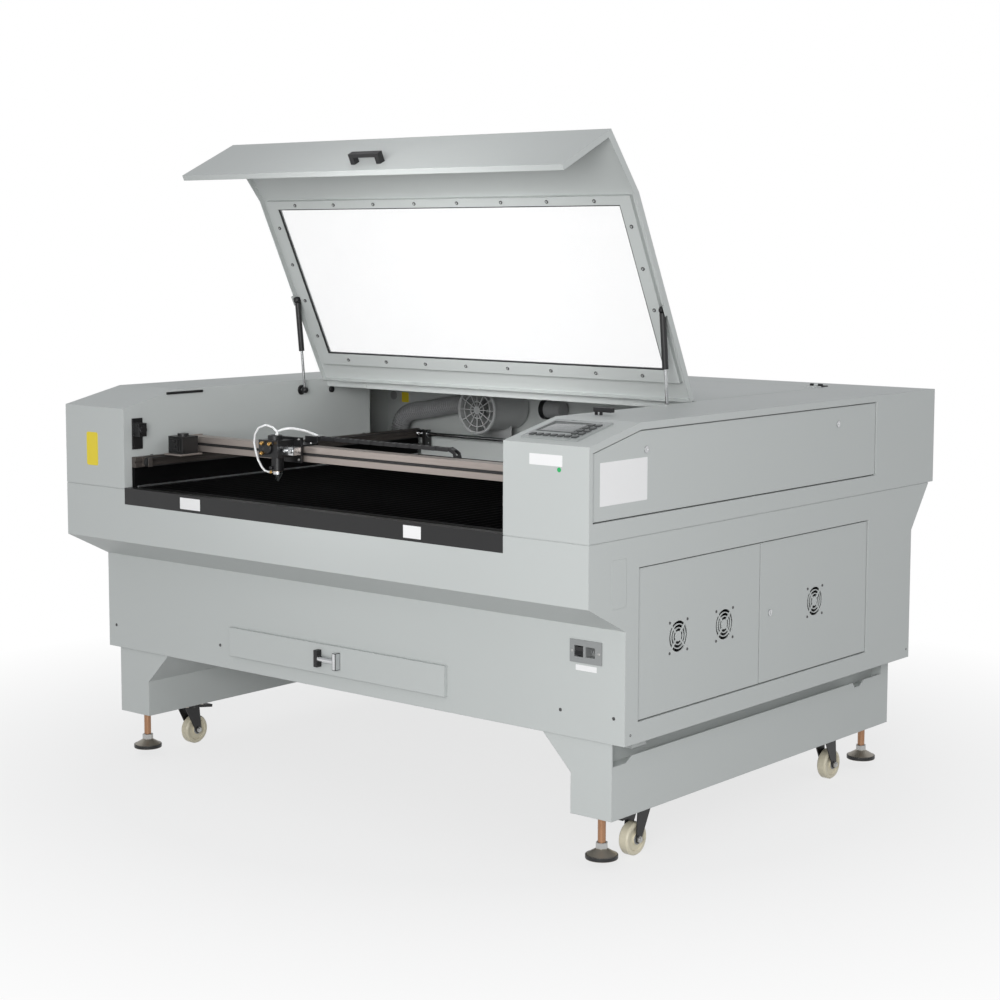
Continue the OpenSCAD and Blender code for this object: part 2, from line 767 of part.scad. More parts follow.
// Ventilation slots and the fume outlet in the lower rear wall
module rear_cuts() {
    for (x = [bay_x + 60 : 24 : half_w - 60]) {
        slab([x, lower_rear_y - 2 * sheet, rear_slope_z - 150],
            [x + 8, lower_rear_y + e, rear_slope_z - 60]);
    }
    translate([duct_x, lower_rear_y - 2 * sheet, rear_slope_z - 150]) rod_y(outlet_r, 4 * sheet);
}

module fume_outlet() {
    translate([duct_x, lower_rear_y - sheet, rear_slope_z - 150]) difference() {
        union() {
            rod_y(outlet_r + 2, 60);
            translate([0, sheet, 0]) rod_y(outlet_r + 16, sheet);
        }
        translate([0, -e, 0]) rod_y(outlet_r, 70);
    }
}

// Partition and ceiling of the electrical bay behind the side doors
module electrical_bay() {
    partition_top = ledge_z - 2 * sheet;
    slab([bay_x, lower_front_y + sheet / 2, lower_bottom_z + sheet / 2],
        [bay_x + sheet, lower_rear_y - sheet / 2, partition_top]);
    slab([bay_x, lower_front_y + sheet / 2, partition_top - sheet],
        [half_w - sheet / 2, lower_rear_y - sheet / 2, partition_top]);
}

// Upstand behind the bed with a flange towards the back
module rear_upstand() {
    upstand_y = well_rear_y + sheet + 6;
    upstand_z = rail_z + 10;
    slab([-well_x, upstand_y, seam_z - sheet / 2], [well_x, upstand_y + sheet, upstand_z]);
    slab([-well_x, upstand_y, upstand_z - sheet], [well_x, upstand_y + 22, upstand_z]);
}

// ---------- Upper body ----------

module upper_body() {
    color(grey_paint) placed() {
        difference() {
            profile_x(upper_side, -half_w, half_w);
            profile_x(inset(upper_side, sheet), -half_w + sheet, half_w - sheet);
            slab([-half_w + sheet, sheet, seam_z - e],
                [half_w - sheet, body_d - sheet, seam_z + 2 * sheet]);
            slab([-console_in, -e, seam_z - e], [console_in, cover_y, top_z + e]);
            slab([-hatch_w / 2 - hatch_edge, hatch_y - hatch_edge, top_z - 2 * sheet],
                [hatch_w / 2 + hatch_edge, hatch_rear + hatch_edge, top_z + e]);
            profile_x(inset(panel_edge, -door_gap), half_w - 2 * sheet, half_w + e);
        }
        both_sides() intersection() {
            profile_x(upper_side, console_in, console_in + sheet);
            slab([0, 0, seam_z], [half_w, console_wall_d, top_z]);
        }
        both_sides() slab([console_in, console_wall_d - sheet, seam_z],
            [console_in + 30, console_wall_d, top_z - sheet / 2]);
        slab([-console_in - sheet / 2, cover_y, top_z - 22],
            [console_in + sheet / 2, cover_y + sheet, top_z]);
        rebate(panel_edge, [panel_edge]);
        at_panel_pivots() pivot_pin();
        hatch_ledge();
        slab([-half_w + sheet / 2, tube_wall_y, seam_z],
            [half_w - sheet / 2, tube_wall_y + sheet, top_z - hatch_drop - 2 * sheet]);
        both_sides() {
            strut_stud();
            translate([hinge_x, 0, 0]) fixed_leaf();
        }
    }
}

// Fixed leaf of a lid hinge with its outer knuckles and pin
module fixed_leaf() {
    third = hinge_w / 3;
    translate([-hinge_w / 2, hinge_y, hinge_z]) rod_x(hinge_pin_r, hinge_w);
    slab([-hinge_w / 2, cover_y - 2, top_z - 20], [hinge_w / 2, cover_y + e, hinge_z - hinge_r - 1.5]);
    for (s = [-1, 1]) translate([s * third, 0, 0]) {
        slab([-third / 2, cover_y - 2, top_z - 20], [third / 2, cover_y, hinge_z]);
        translate([-third / 2, hinge_y, hinge_z]) rod_x(hinge_r, third);
    }
}

// Rebate that the hatch lies in
module hatch_ledge() {
    x1 = hatch_w / 2 + hatch_edge;
    y0 = hatch_y - hatch_edge;
    y1 = hatch_rear + hatch_edge;
    difference() {
        slab([-x1 - sheet, y0 - sheet, top_z - hatch_drop - sheet],
            [x1 + sheet, y1 + sheet, top_z - sheet / 2]);
        slab([-x1, y0, top_z - hatch_drop], [x1, y1, top_z + e]);
        slab([-x1 + 18, y0 + 18, top_z - hatch_drop - 2 * sheet], [x1 - 18, y1 - 18, top_z]);
    }
}

// Stud on the console wall that carries a strut's foot
module strut_stud() {
    stud_x = strut_x - 5;
    translate([stud_x, strut_foot[0], strut_foot[1]]) rod_x(strut_rod_r, console_in - stud_x + sheet / 2);
    translate([console_in - 3, strut_foot[0], strut_foot[1]]) rod_x(11, 4);
}

module hatch_hinges() {
    step = hatch_leaf_w / 3;
    color(dark_metal) placed() both_sides() translate([hatch_hinge_x, hatch_hinge_y, hatch_hinge_z]) {
        for (s = [-1, 1]) translate([s * step - step / 2, 0, 0]) rod_x(hinge_r, step);
        translate([-hatch_leaf_w / 2, 0, 0]) rod_x(hinge_pin_r, hatch_leaf_w);
        slab([-hatch_leaf_w / 2, 6, -hinge_r - 1], [hatch_leaf_w / 2, 30, -hinge_r + 2]);
        for (s = [-1, 1]) slab([s * step - step / 2, 0, -hinge_r - 1 + touch],
            [s * step + step / 2, 8, -1]);
    }
}

module rear_hatch() {
    step = hatch_leaf_w / 3;
    color(grey_paint) placed() {
        difference() {
            slab([-hatch_w / 2, hatch_y, top_z - hatch_drop + touch], [hatch_w / 2, hatch_rear, top_z]);
            slab([-hatch_w / 2 + 2, hatch_y + 2, top_z - hatch_drop - e],
                [hatch_w / 2 - 2, hatch_rear - 2, top_z - 2]);
        }
        both_sides() translate([hatch_hinge_x, hatch_hinge_y, hatch_hinge_z]) difference() {
            union() {
                translate([-step / 2 + touch, 0, 0]) rod_x(hinge_r, step - 2 * touch);
                slab([-step / 2 + touch, -8, -hinge_r - 1], [step / 2 - touch, 0, -1]);
                slab([-hatch_leaf_w / 2, -32, -hinge_r - 1], [hatch_leaf_w / 2, -6, -hinge_r + 2]);
            }
            translate([-step, 0, 0]) rod_x(hinge_pin_r + fit, 2 * step);
        }
    }
}

// ---------- Side doors and panel ----------

module door_plate(edge) { profile_x(edge, face_x - sheet, face_x); }

module door_front() {
    color(grey_paint) placed() difference() {
        union() {
            door_plate(door_front_edge);
            at_front_door_pivots() pivot_knuckle();
        }
        at_front_door_pivots() pivot_bore();
        for (k = [0, 1]) translate([face_x, fan_places[k], fan_z]) grille_slots();
    }
}

module door_rear() {
    color(grey_paint) placed() difference() {
        union() {
            door_plate(door_rear_edge);
            at_rear_door_pivots() pivot_knuckle();
        }
        at_rear_door_pivots() pivot_bore();
        translate([face_x, fan_places[2], fan_z]) grille_slots();
        translate([face_x, door_lock_y, fan_z]) lock_bore();
    }
}

module side_panel() {
    color(grey_paint) placed() difference() {
        union() {
            door_plate(panel_edge);
            at_panel_pivots() pivot_knuckle();
        }
        at_panel_pivots() pivot_bore();
        for (y = panel_lock_places) translate([face_x, y, panel_lock_z]) lock_bore();
    }
}

module door_lock() {
    color(bare_metal) placed() translate([face_x, door_lock_y, fan_z]) cam_lock(44);
}

module panel_lock(k) {
    color(bare_metal) placed() translate([face_x, panel_lock_places[k], panel_lock_z])
        rotate([-90, 0, 0]) cam_lock(38);
}
module panel_lock_front() { panel_lock(0); }
module panel_lock_rear() { panel_lock(1); }

module at_fan(k) { placed() translate([face_x - sheet, fan_places[k], fan_z]) children(); }

module fan_frames_front() { color(dark_metal) for (k = [0, 1]) at_fan(k) fan_frame(); }
module fan_frame_rear() { color(dark_metal) at_fan(2) fan_frame(); }
module fan_rotor_1() { color(dark_metal) at_fan(0) fan_rotor(); }
module fan_rotor_2() { color(dark_metal) at_fan(1) fan_rotor(); }
module fan_rotor_3() { color(dark_metal) at_fan(2) fan_rotor(); }

module power_supply() {
    size = [130, 300, lower_bottom_z - beam_bottom_z];
    fin = [12, 4, size[2] - 55];
    fin_pitch = 20;
    corner = [bay_x + sheet, doors_y + 60, lower_bottom_z + sheet];
    color(bare_metal) placed() translate(corner) {
        cube(size);
        for (y = [fin_pitch : fin_pitch : size[1] - fin_pitch]) translate([size[0], y, size[2] / 5])
            cube(fin);
    }
}

// ---------- Front ----------

module front_apron() {
    color(dark_metal) placed() {
        slab([-console_in, 0, seam_z - apron_h], [console_in, 2, seam_z + 2]);
        slab([-console_in, 0, seam_z], [console_in, rail_front_y - touch, seam_z + 2]);
    }
}

module control_panel() {
    panel_size = [160, 135];
    key = 13;
    color([0.62, 0.64, 0.63]) placed()
        translate([half_w - 135, slope_d / 2, console_front_z + slope_drop / 2])
        rotate([atan2(slope_drop, slope_d), 0, 0]) translate([-panel_size[0] / 2, -panel_size[1] / 2, 0]) {
            difference() {
                cube([panel_size[0], panel_size[1], 4]);
                translate([12, 48, 3]) cube([96, 66, 2]);
            }
            for (i = [0 : 6]) translate([14 + i * 20, 12, 3.5]) cube([key, key, 2]);
            for (j = [1 : 4]) for (i = [0, 1]) translate([116 + i * 19, 14 + j * 21, 3.5])
                cube([key, key, 2]);
        }
}

// Inlet plate with a recessed three-pin inlet and an opening for the rocker
module mains_plate() {
    color([0.55, 0.57, 0.57]) placed() translate([mains_x, lower_front_y, mains_z]) {
        difference() {
            union() {
                slab([-mains_w / 2, -sheet, -mains_h / 2], [mains_w / 2, 0, mains_h / 2]);
                slab([-mains_w / 2 + 10, -e, -mains_h / 2 + 10], [mains_w / 2 - 10, 30, mains_h / 2 - 10]);
            }
            slab([0, -sheet - e, -12], [27, 22, 12]);
            slab([-mains_w / 2 + 13, -sheet - e, -13], [-7, 18, 13]);
        }
        for (x = [6.5, 13.5, 20.5]) slab([x - 1, 10, -3], [x + 1, 23, 3]);
        translate([-mains_w / 2 + 12, 6, 0]) rod_x(1.5, mains_w / 2 - 18);
    }
}

module rocker_switch() {
    color(dark_metal) placed() translate([mains_x - mains_w / 4 + 3, lower_front_y + 6, mains_z]) {
        difference() {
            rotate([90, 0, 90]) translate([0, 0, -12]) linear_extrude(24)
                polygon([[6, -8], [6, 8], [-8, 10], [-6, 0], [-10.5, -9]]);
            translate([-13, 0, 0]) rod_x(1.5 + fit, 26);
        }
    }
}

module drawer() {
    box_z = drawer_z + 6;
    color(grey_paint) placed() {
        slab([drawer_x - drawer_w / 2, lower_front_y - drawer_front_t, drawer_z],
            [drawer_x + drawer_w / 2, lower_front_y - touch / 3, drawer_z + drawer_h]);
        difference() {
            slab([drawer_x - drawer_box_w / 2, lower_front_y - e, box_z],
                [drawer_x + drawer_box_w / 2, lower_front_y + drawer_d, box_z + drawer_box_h]);
            slab([drawer_x - drawer_box_w / 2 + drawer_wall, lower_front_y + drawer_wall,
                box_z + drawer_wall],
                [drawer_x + drawer_box_w / 2 - drawer_wall, lower_front_y + drawer_d - drawer_wall,
                    box_z + drawer_h]);
        }
    }
}

// Thick bar between two tall end blocks
module drawer_handle() {
    handle_w = 78;
    block = [12, 18, 44];
    bar_r = 8;
    color(bare_metal) placed()
        translate([drawer_x - 8, lower_front_y - drawer_front_t, drawer_z + drawer_h / 2 + 2]) {
            for (x = [-handle_w / 2, handle_w / 2 - block[0]])
                translate([x, -block[1], -block[2] / 2]) cube(block);
            translate([-handle_w / 2 + 4, -bar_r - 1, 0]) rod_x(bar_r, handle_w - 8);
        }
}

// ---------- Bed ----------

module bed_frame() {
    x1 = well_x - e;
    y1 = bed_y + bed_l;
    rest_z = ledge_z + bed_h - blade_h;
    color(dark_metal) placed() {
        difference() {
            slab([-x1, bed_y, ledge_z], [x1, y1, ledge_z + bed_h]);
            slab([-x1 + bed_bar, bed_y + bed_bar, ledge_z - e],
                [x1 - bed_bar, y1 - bed_bar, ledge_z + bed_h + e]);
        }
        for (y = [bed_y + bed_bar + 4, bed_y + bed_l / 2, y1 - bed_bar - 4]) {
            slab([-x1 + bed_bar - e, y - 6, ledge_z], [x1 - bed_bar + e, y + 6, rest_z]);
        }
        both_sides() slab([support_x, rail_front_y, seam_z], [rail_x, rail_rear_y, rail_z]);
    }
}

module bed_blades() {
    inner = well_x - e - bed_bar;
    count = floor((inner - blade_pitch / 2) / blade_pitch);
    blade_z = ledge_z + bed_h - blade_h;
    color(dark_metal) placed() for (k = [-count : count]) {
        slab([k * blade_pitch - blade_t / 2, bed_y + bed_bar, blade_z],
            [k * blade_pitch + blade_t / 2, bed_y + bed_l - bed_bar, blade_z + blade_h - 0.5]);
    }
}

// ---------- Long drive ----------

// Grooved rails on their supports, with idler brackets at the front
module y_rails() {
    slot = 6;
    color(bronze_alloy) placed() both_sides() {
        difference() {
            slab([rail_x - rail_w, rail_front_y, rail_z], [rail_x, rail_rear_y, rail_top_z]);
            slab([rail_x - rail_w - e, rail_front_y - e, rail_z + rail_h / 2 - slot / 2],
                [rail_x - rail_w + 4, rail_rear_y + e, rail_z + rail_h / 2 + slot / 2]);
            translate([rail_x - rail_w - e, shaft_y, shaft_z]) rod_x(shaft_r + fit, rail_w + 2 * e);
        }
        difference() {
            slab([belt_x - belt_w / 2 - 4, idler_y - 7, rail_z + 2],
                [rail_x - rail_w, idler_y + 7, rail_top_z - 2]);
            slab([belt_x - belt_w / 2 - 1.5, idler_y - 8, rail_z],
                [belt_x + belt_w / 2 + 3, idler_y + 8, rail_top_z]);
        }
        translate([belt_x - belt_w / 2 - 3, idler_y, shaft_z])
            rod_x(3, rail_x - rail_w - belt_x + belt_w / 2 + 4);
    }
}

// Flat ring of a belt round two pulleys, in Y and Z
module belt_ring(r) {
    for (y = [idler_y, shaft_y]) translate([y, shaft_z]) circle(r);
    translate([idler_y, shaft_z - r]) square([shaft_y - idler_y, 2 * r]);
}

// Toothed belts with their front idler rollers
module y_belts() {
    roller_r = pulley_r - belt_t;
    color(dark_metal) placed() both_sides() {
        translate([belt_x - belt_w / 2, 0, 0]) rotate([90, 0, 90]) linear_extrude(belt_w) difference() {
            belt_ring(pulley_r);
            belt_ring(roller_r);
        }
        translate([belt_x - belt_w / 2, idler_y, shaft_z]) difference() {
            rod_x(roller_r, belt_w);
            translate([-e, 0, 0]) rod_x(3 + fit, belt_w + 2 * e);
        }
    }
}

module drive_shaft() {
    hub_r = pulley_r - belt_t - 0.1;
    color(bare_metal) placed() translate([0, shaft_y, shaft_z]) {
        translate([-belt_x - belt_w / 2 - 10, 0, 0])
            rod_x(shaft_r, belt_x + belt_w / 2 + 10 + rail_x + 6 - touch);
        both_sides() {
            translate([belt_x - belt_w / 2 - 2, 0, 0]) rod_x(hub_r, belt_w + 4);
            for (x = [-belt_w / 2 - 3, belt_w / 2 + 1]) translate([belt_x + x, 0, 0])
                rod_x(pulley_r + 1.5, 2);
        }
    }
}

// Stepper motor behind the right rail's end, and the posts that hold the shaft
module y_motor() {
    color(dark_metal) placed() {
        both_sides() difference() {
            slab([post_x - post_w / 2, shaft_y - 12, rail_z - 20],
                [post_x + post_w / 2, shaft_y + 12, shaft_z + 12]);
            translate([post_x - post_w, shaft_y, shaft_z]) rod_x(shaft_r + fit, 2 * post_w);
        }
        both_sides() slab([post_x - post_w / 2, shaft_y - 12, rail_z - 26],
            [support_x, shaft_y + 12, rail_z - 18]);
        translate([rail_x + 6, shaft_y - motor_size / 2, shaft_z - motor_size / 2]) {
            cube([motor_l, motor_size, motor_size]);
            translate([0, 0, seam_z - shaft_z + motor_size / 2]) cube([5, motor_size, shaft_z - seam_z]);
        }
    }
}

// ---------- Gantry ----------

// Hollow square beam with a front groove, on end plates with guide blocks
module gantry_beam() {
    wall = 3;
    groove_h = 8;
    color(bronze_alloy) placed() {
        difference() {
            slab([-beam_half, beam_y, beam_z], [beam_half, beam_y + beam_size, beam_top_z]);
            slab([-beam_half - e, beam_y + 3 * wall, beam_z + wall],
                [beam_half + e, beam_y + beam_size - wall, beam_top_z - wall]);
            slab([-beam_half - e, beam_y - e, beam_z + beam_size / 2 - groove_h / 2],
                [beam_half + e, beam_y + 2 * wall, beam_z + beam_size / 2 + groove_h / 2]);
        }
        both_sides() {
            slab([beam_half - e, beam_y - 4, beam_z - 2],
                [beam_half + 4, beam_y + beam_size + 4, beam_top_z + 3]);
            slab([beam_half - 26, beam_y - 30, rail_top_z + 2],
                [rail_x - 2, beam_y + beam_size + 30, beam_z]);
            slab([rail_x - rail_w, beam_y - 10, rail_top_z + touch],
                [rail_x - 2, beam_y + beam_size + 10, rail_top_z + 3]);
        }
        slab([-beam_half + 2, beam_y - 95, rail_top_z + 2], [-beam_half + 70, beam_y - 20, beam_z]);
        slab([-beam_half / 3, beam_y + beam_size - e, beam_z - 2],
            [chain_right + chain_r + chain_h, chain_y + chain_w + 2, beam_z]);
    }
}

// Stepper motor and second mirror at the left end of the beam
module x_motor() {
    x0 = -beam_half + 4;
    y0 = beam_y - 94;
    color(dark_metal) placed() {
        slab([x0, y0 + 12, beam_z], [x0 + 56, y0 + 68, beam_z + 46]);
        slab([x0 + 12, y0 + 4, beam_z + 8], [x0 + 44, y0 + 12, beam_z + 40]);
        translate([x0 + 28, y0 + 40, beam_z + 46]) cylinder(r = 15, h = 7);
        translate([x0 - 4, y0 + 40, beam_z + 24]) rod_x(12, 5);
        translate([x0 + 28, y0, beam_z + 24]) rod_y(12, 5);
        for (i = [-1, 1]) translate([x0 + 28 + i * 10, y0 + 1, beam_z + 24 - i * 10]) rod_y(2, 4);
    }
}

// Plate and slide block that run along the beam
module carriage() {
    x0 = carriage_x - carriage_w / 2;
    x1 = carriage_x + carriage_w / 2;
    color(dark_metal) placed() {
        slab([x0, carriage_y, beam_z - 2], [x1, carriage_y + plate_t, beam_top_z + 24]);
        slab([x0 + 10, carriage_y + plate_t - e, beam_z + 3],
            [x1 - 10, beam_y - slide_gap, beam_z + beam_size / 2 - 6]);
        slab([x0, carriage_y + plate_t - e, beam_top_z + slide_gap],
            [x1, beam_y + beam_size - 4, beam_top_z + 5]);
        slab([carriage_x, beam_y + beam_size - 5, beam_top_z + 1], [x1, chain_y - touch, beam_top_z + 5]);
        slab([carriage_x, chain_y - 4, beam_top_z + 1],
            [x1, chain_y - touch, chain_low_z + 2 * chain_r + 5]);
    }
}

// Mirror block, side arm and lens holder on the carriage
module laser_head() {
    x0 = carriage_x - 50;
    color(dark_metal) placed() {
        slab([x0, head_y, head_z], [x0 + 70, carriage_y, head_z + head_h - 10]);
        translate([x0 + 35, head_y + 26, head_z + head_h - 10]) cylinder(r = 19, h = 10);
        slab([x0 + 70 - e, head_y + 20, head_z + 8], [x0 + 108, head_y + 46, head_z + 30]);
        translate([x0 + 4, head_y + 28, head_z + 22]) rotate([0, 0, 180]) rod_x(13, 12);
        translate([x0 + 35, head_y + 2, head_z + 24]) rotate([0, 0, 180]) rod_y(15, 7);
        for (a = [0, 90, 180])
            translate([x0 + 35 + 20 * cos(a + 45), head_y - 5, head_z + 24 + 18 * sin(a + 45)])
            rod_y(3.5, 8);
        difference() {
            union() {
                translate([tube_axis[0], tube_axis[1], holder_z])
                    cylinder(r = holder_r, h = head_z - holder_z + e);
                translate([tube_axis[0], tube_axis[1] - holder_r - 10, holder_z + 9]) rod_y(4.5, 14);
            }
            translate([tube_axis[0], tube_axis[1], holder_z - e])
                cylinder(r = lens_r + fit, h = head_z - holder_z + 8);
        }
    }
}

// Lens tube that slides down in its holder, with the nozzle and hose fitting
module lens_tube() {
    color(bare_metal) placed() translate([tube_axis[0], tube_axis[1], 0]) {
        translate([0, 0, holder_z - 2]) cylinder(r = lens_r, h = head_z - touch - holder_z + 2);
        translate([0, 0, nozzle_z]) cylinder(r1 = 3, r2 = lens_r + 2, h = collar_z);
        translate([0, 0, nozzle_z + collar_z])
            cylinder(r = lens_r + 2, h = holder_z - nozzle_z - collar_z - 1);
        translate([-barb_l, 0, nozzle_z + barb_z]) rod_x(3, barb_l - lens_r + 2);
    }
}

// ---------- Air hose and cable chain ----------

// Points of the route, from the top of the head round the left side to the nozzle
hose_points = [[0, 0, 62.3], [0, 0, 69], [-12, -2, 76], [-34, -6, 78], [-56, -10, 66], [-68, -12, 44],
    [-70, -12, 18],
    [-66, -10, -8], [-58, -8, -34], [-48, -4, -56], [-38, -2, -68], [-26, 0, -74]];
air_hose_r = 3;

function ring_frame(pts, i) = unit(pts[min(i + 1, len(pts) - 1)] - pts[max(i - 1, 0)]);
function ring_points(pts, i, r, n) = let (d = ring_frame(pts, i), u = unit(cross(d, [0, 1, 0.1])),
    v = cross(d, u))
    [for (k = [0 : n - 1]) pts[i] + r * (cos(k * 360 / n) * u + sin(k * 360 / n) * v)];

// Closed tube through a list of rings that all have the same number of points
module ringed_tube(rings) {
    n = len(rings[0]);
    last = len(rings) - 1;
    walls = [for (i = [0 : last - 1]) for (k = [0 : n - 1]) let (a = i * n + k, b = i * n + (k + 1) % n)
        [a, b, b + n, a + n]];
    caps = [[for (k = [n - 1 : -1 : 0]) k], [for (k = [0 : n - 1]) last * n + k]];
    polyhedron([for (ring = rings) each ring], concat(walls, caps));
}

module air_hose() {
    start = [tube_axis[0], tube_axis[1], head_z - 7];
    last = len(hose_points) - 1;
    end = [-barb_l - touch, 0, nozzle_z + barb_z - start[2]];
    drift = end - [8, 0, 0] - hose_points[last];
    points = concat([for (i = [0 : last]) start + hose_points[i] + i / last * drift], [start + end]);
    color([0.92, 0.93, 0.93]) placed()
        ringed_tube([for (i = [0 : last + 1]) ring_points(points, i, air_hose_r, 12)]);
}

// Cable chain: upper run, half-round bend and lower run. Each link is a block between
// two rings, with a narrower joint before the next; s is the distance along the chain.
chain_run = chain_pitch * chain_links;
chain_curve = PI * chain_r;
chain_lower_links = 8;
chain_count = chain_links + floor(chain_curve / chain_pitch) + chain_lower_links;
joint_l = 2;

function chain_normal(s) = s < chain_run ? [0, 0, 1] : s > chain_run + chain_curve ? [0, 0, -1]
    : let (a = (s - chain_run) / chain_r * 180 / PI) [sin(a), 0, cos(a)];
function chain_centre(s) = [chain_right, chain_y, chain_low_z + chain_r] + chain_r * chain_normal(s)
    - (s < chain_run ? [chain_run - s, 0, 0] : [0, 0, 0])
    - (s > chain_run + chain_curve ? [s - chain_run - chain_curve, 0, 0] : [0, 0, 0]);
function chain_ring(s, trim) = let (c = chain_centre(s), n = chain_normal(s) * (chain_h / 2 - trim))
    [c + n + [0, trim, 0], c + n + [0, chain_w - trim, 0], c - n + [0, chain_w - trim, 0],
        c - n + [0, trim, 0]];

module cable_chain() {
    rings = [for (k = [0 : chain_count - 1]) for (step = [[0, 2], [0.8, 0],
        [chain_pitch - joint_l - 0.8, 0],
        [chain_pitch - joint_l, 2]]) chain_ring(k * chain_pitch + step[0], step[1])];
    color([0.2, 0.2, 0.21]) placed() ringed_tube(rings);
}

// ---------- Laser tube, mirrors, fume duct ----------

module laser_tube() {
    neck_l = 50;
    cap_w = 10;
    nipple_l = 18;
    color([0.85, 0.88, 0.92]) placed() translate([-tube_l / 2, tube_y, tube_z]) {
        translate([neck_l, 0, 0]) rod_x(tube_r, tube_l - 2 * neck_l);
        rod_x(tube_r * 0.42, tube_l);
        for (x = [neck_l - 6, tube_l - neck_l - cap_w + 6]) translate([x, 0, 0]) rod_x(tube_r + 1, cap_w);
        for (x = [2 * neck_l, tube_l - 2 * neck_l]) translate([x, 0, tube_r - 2])
            cylinder(r = 5, h = nipple_l);
    }
}

// Two stands with rings round the tube
module tube_holders() {
    stand_w = 24;
    ring_t = 8;
    half_d = tube_r + ring_t + 6;
    color(dark_metal) placed() for (x = [-tube_l / 4, tube_l / 4])
        translate([x - stand_w / 2, tube_y, 0]) difference() {
        union() {
            slab([0, -half_d, seam_z], [stand_w, half_d, tube_z - tube_r / 2]);
            translate([0, 0, tube_z]) rod_x(tube_r + ring_t, stand_w);
        }
        translate([-e, 0, tube_z]) rod_x(tube_r + touch, stand_w + 2 * e);
        slab([-e, -tube_r, seam_z + ring_t + 4], [stand_w + e, tube_r, tube_z - half_d]);
    }
}

// Alignment mirror on a post at the left front of the work space
module mirror_mount() {
    x0 = -console_in;
    y0 = rail_front_y + 14;
    color(dark_metal) placed() {
        slab([x0, y0 - 12, rail_top_z + 20], [x0 + 4, y0 + 22, top_z - 70]);
        slab([x0 + 3, y0 - 10, top_z - 118], [x0 + 28, y0 + 16, top_z - 82]);
        translate([x0 + 27, y0 + 3, top_z - 100]) rod_x(11, 5);
        for (i = [-1, 1]) translate([x0 + 15 + i * 8, y0 - 15, top_z - 100 + i * 11]) rod_y(3, 8);
    }
}

// Round fume inlet with a spoked grille, standing on a bracket
module exhaust_duct() {
    wall = 2;
    color([0.78, 0.79, 0.79]) placed() translate([duct_x, duct_y, duct_z]) {
        difference() {
            union() {
                rod_y(duct_r, duct_l);
                rod_y(duct_r + 6, 6);
                translate([-hose_stub_l, hose_y - duct_y, 0]) rod_x(hose_r + wall, hose_stub_l);
            }
            translate([0, -e, 0]) rod_y(duct_r - wall, duct_l - wall + e);
            translate([-hose_stub_l - e, hose_y - duct_y, 0]) rod_x(hose_r, hose_stub_l);
        }
        for (a = [0 : 30 : 150]) rotate([0, a, 0]) translate([-duct_r + 1, 2, -1.5])
            cube([2 * duct_r - 2, 3, 3]);
        for (r = [25, 50]) translate([0, 2.5, 0]) difference() {
            rod_y(r + 1.5, 2);
            translate([0, -e, 0]) rod_y(r - 1.5, 4);
        }
        translate([0, 1, 0]) rod_y(12, 5);
        slab([-40, hose_y - duct_y - 10, seam_z - duct_z], [40, hose_y - duct_y - 6, -duct_r * 0.8]);
        slab([-40, hose_y - duct_y - 10, seam_z - duct_z], [40, hose_y - duct_y + 24, seam_z - duct_z + 4]);
    }
}
hose_stub_l = duct_r + 16;

// Corrugated hose: straight from the duct to the left, then down to the deck.
// Each ring of its wall is given by a distance s along the hose.
hose_straight = duct_x - hose_stub_l - touch - hose_left;
hose_curve = hose_bend_r * PI / 2;
hose_total = hose_straight + hose_curve + duct_z - hose_bend_r - seam_z;
hose_rings = 4 * floor(hose_total / hose_pitch);
hose_sides = 20;

function hose_normal(s) = s < hose_straight ? [0, 0, 1] : s > hose_straight + hose_curve ? [-1, 0, 0]
    : let (a = (s - hose_straight) / hose_bend_r * 180 / PI) [-sin(a), 0, cos(a)];
function hose_centre(s) = [hose_left, hose_y, duct_z - hose_bend_r] + hose_bend_r * hose_normal(s)
    + (s < hose_straight ? [hose_straight - s, 0, 0] : [0, 0, 0])
    - (s > hose_straight + hose_curve ? [0, 0, s - hose_straight - hose_curve] : [0, 0, 0]);
function hose_ring(s, r) = let (c = hose_centre(s), n = hose_normal(s))
    [for (k = [0 : hose_sides - 1]) c
        + r * (cos(k * 360 / hose_sides) * n + sin(k * 360 / hose_sides) * [0, 1, 0])];

module exhaust_hose() {
    rings = [for (i = [0 : hose_rings])
        hose_ring(i * hose_total / hose_rings, i % 4 == 1 || i % 4 == 2 ? hose_r : hose_r - 3)];
    color([0.45, 0.46, 0.47]) placed() ringed_tube(rings);
}

// ---------- Lid ----------

// Lid pan: folded skin, edge flanges, window opening and the moving hinge leaves
module lid() {
    color(grey_paint) placed() on_lid() {
        difference() {
            union() {
                profile_x(lid_side, -lid_half, lid_half);
                both_sides() lid_side_flange();
            }
            slab([-window_w / 2, window_front, top_z - 2 * lid_sheet],
                [window_w / 2, window_front + window_d, top_z + e]);
        }
        slab([-lid_half, lid_rear_y - lid_sheet, top_z - lid_flange - lid_sheet],
            [lid_half, lid_rear_y, top_z - e]);
        slab([-lid_half, lip_y, lip_z], [lid_half, lip_y + lid_flange, lip_z + lid_sheet]);
        both_sides() {
            translate([hinge_x, 0, 0]) lid_leaf();
            slab([lid_half - lid_sheet, hinge_y - strut_arm - 14, top_z - strut_drop - 9],
                [lid_half, hinge_y - strut_arm + 14, top_z - lid_flange]);
        }
    }
}

module lid_side_flange() {
    edge = [[lip_y, lip_z], [lip_y + lid_flange, lip_z], [lip_y + lid_flange, console_front_z - lid_flange],
        [slope_d, top_z - lid_flange - lid_sheet], [lid_rear_y, top_z - lid_flange - lid_sheet],
        [lid_rear_y, top_z - lid_sheet / 2], [slope_d, top_z - lid_sheet / 2],
            [lip_y + lid_sheet / 2, lip_top_z(lid_sheet / 2)]];
    profile_x(edge, lid_half - lid_sheet, lid_half);
}

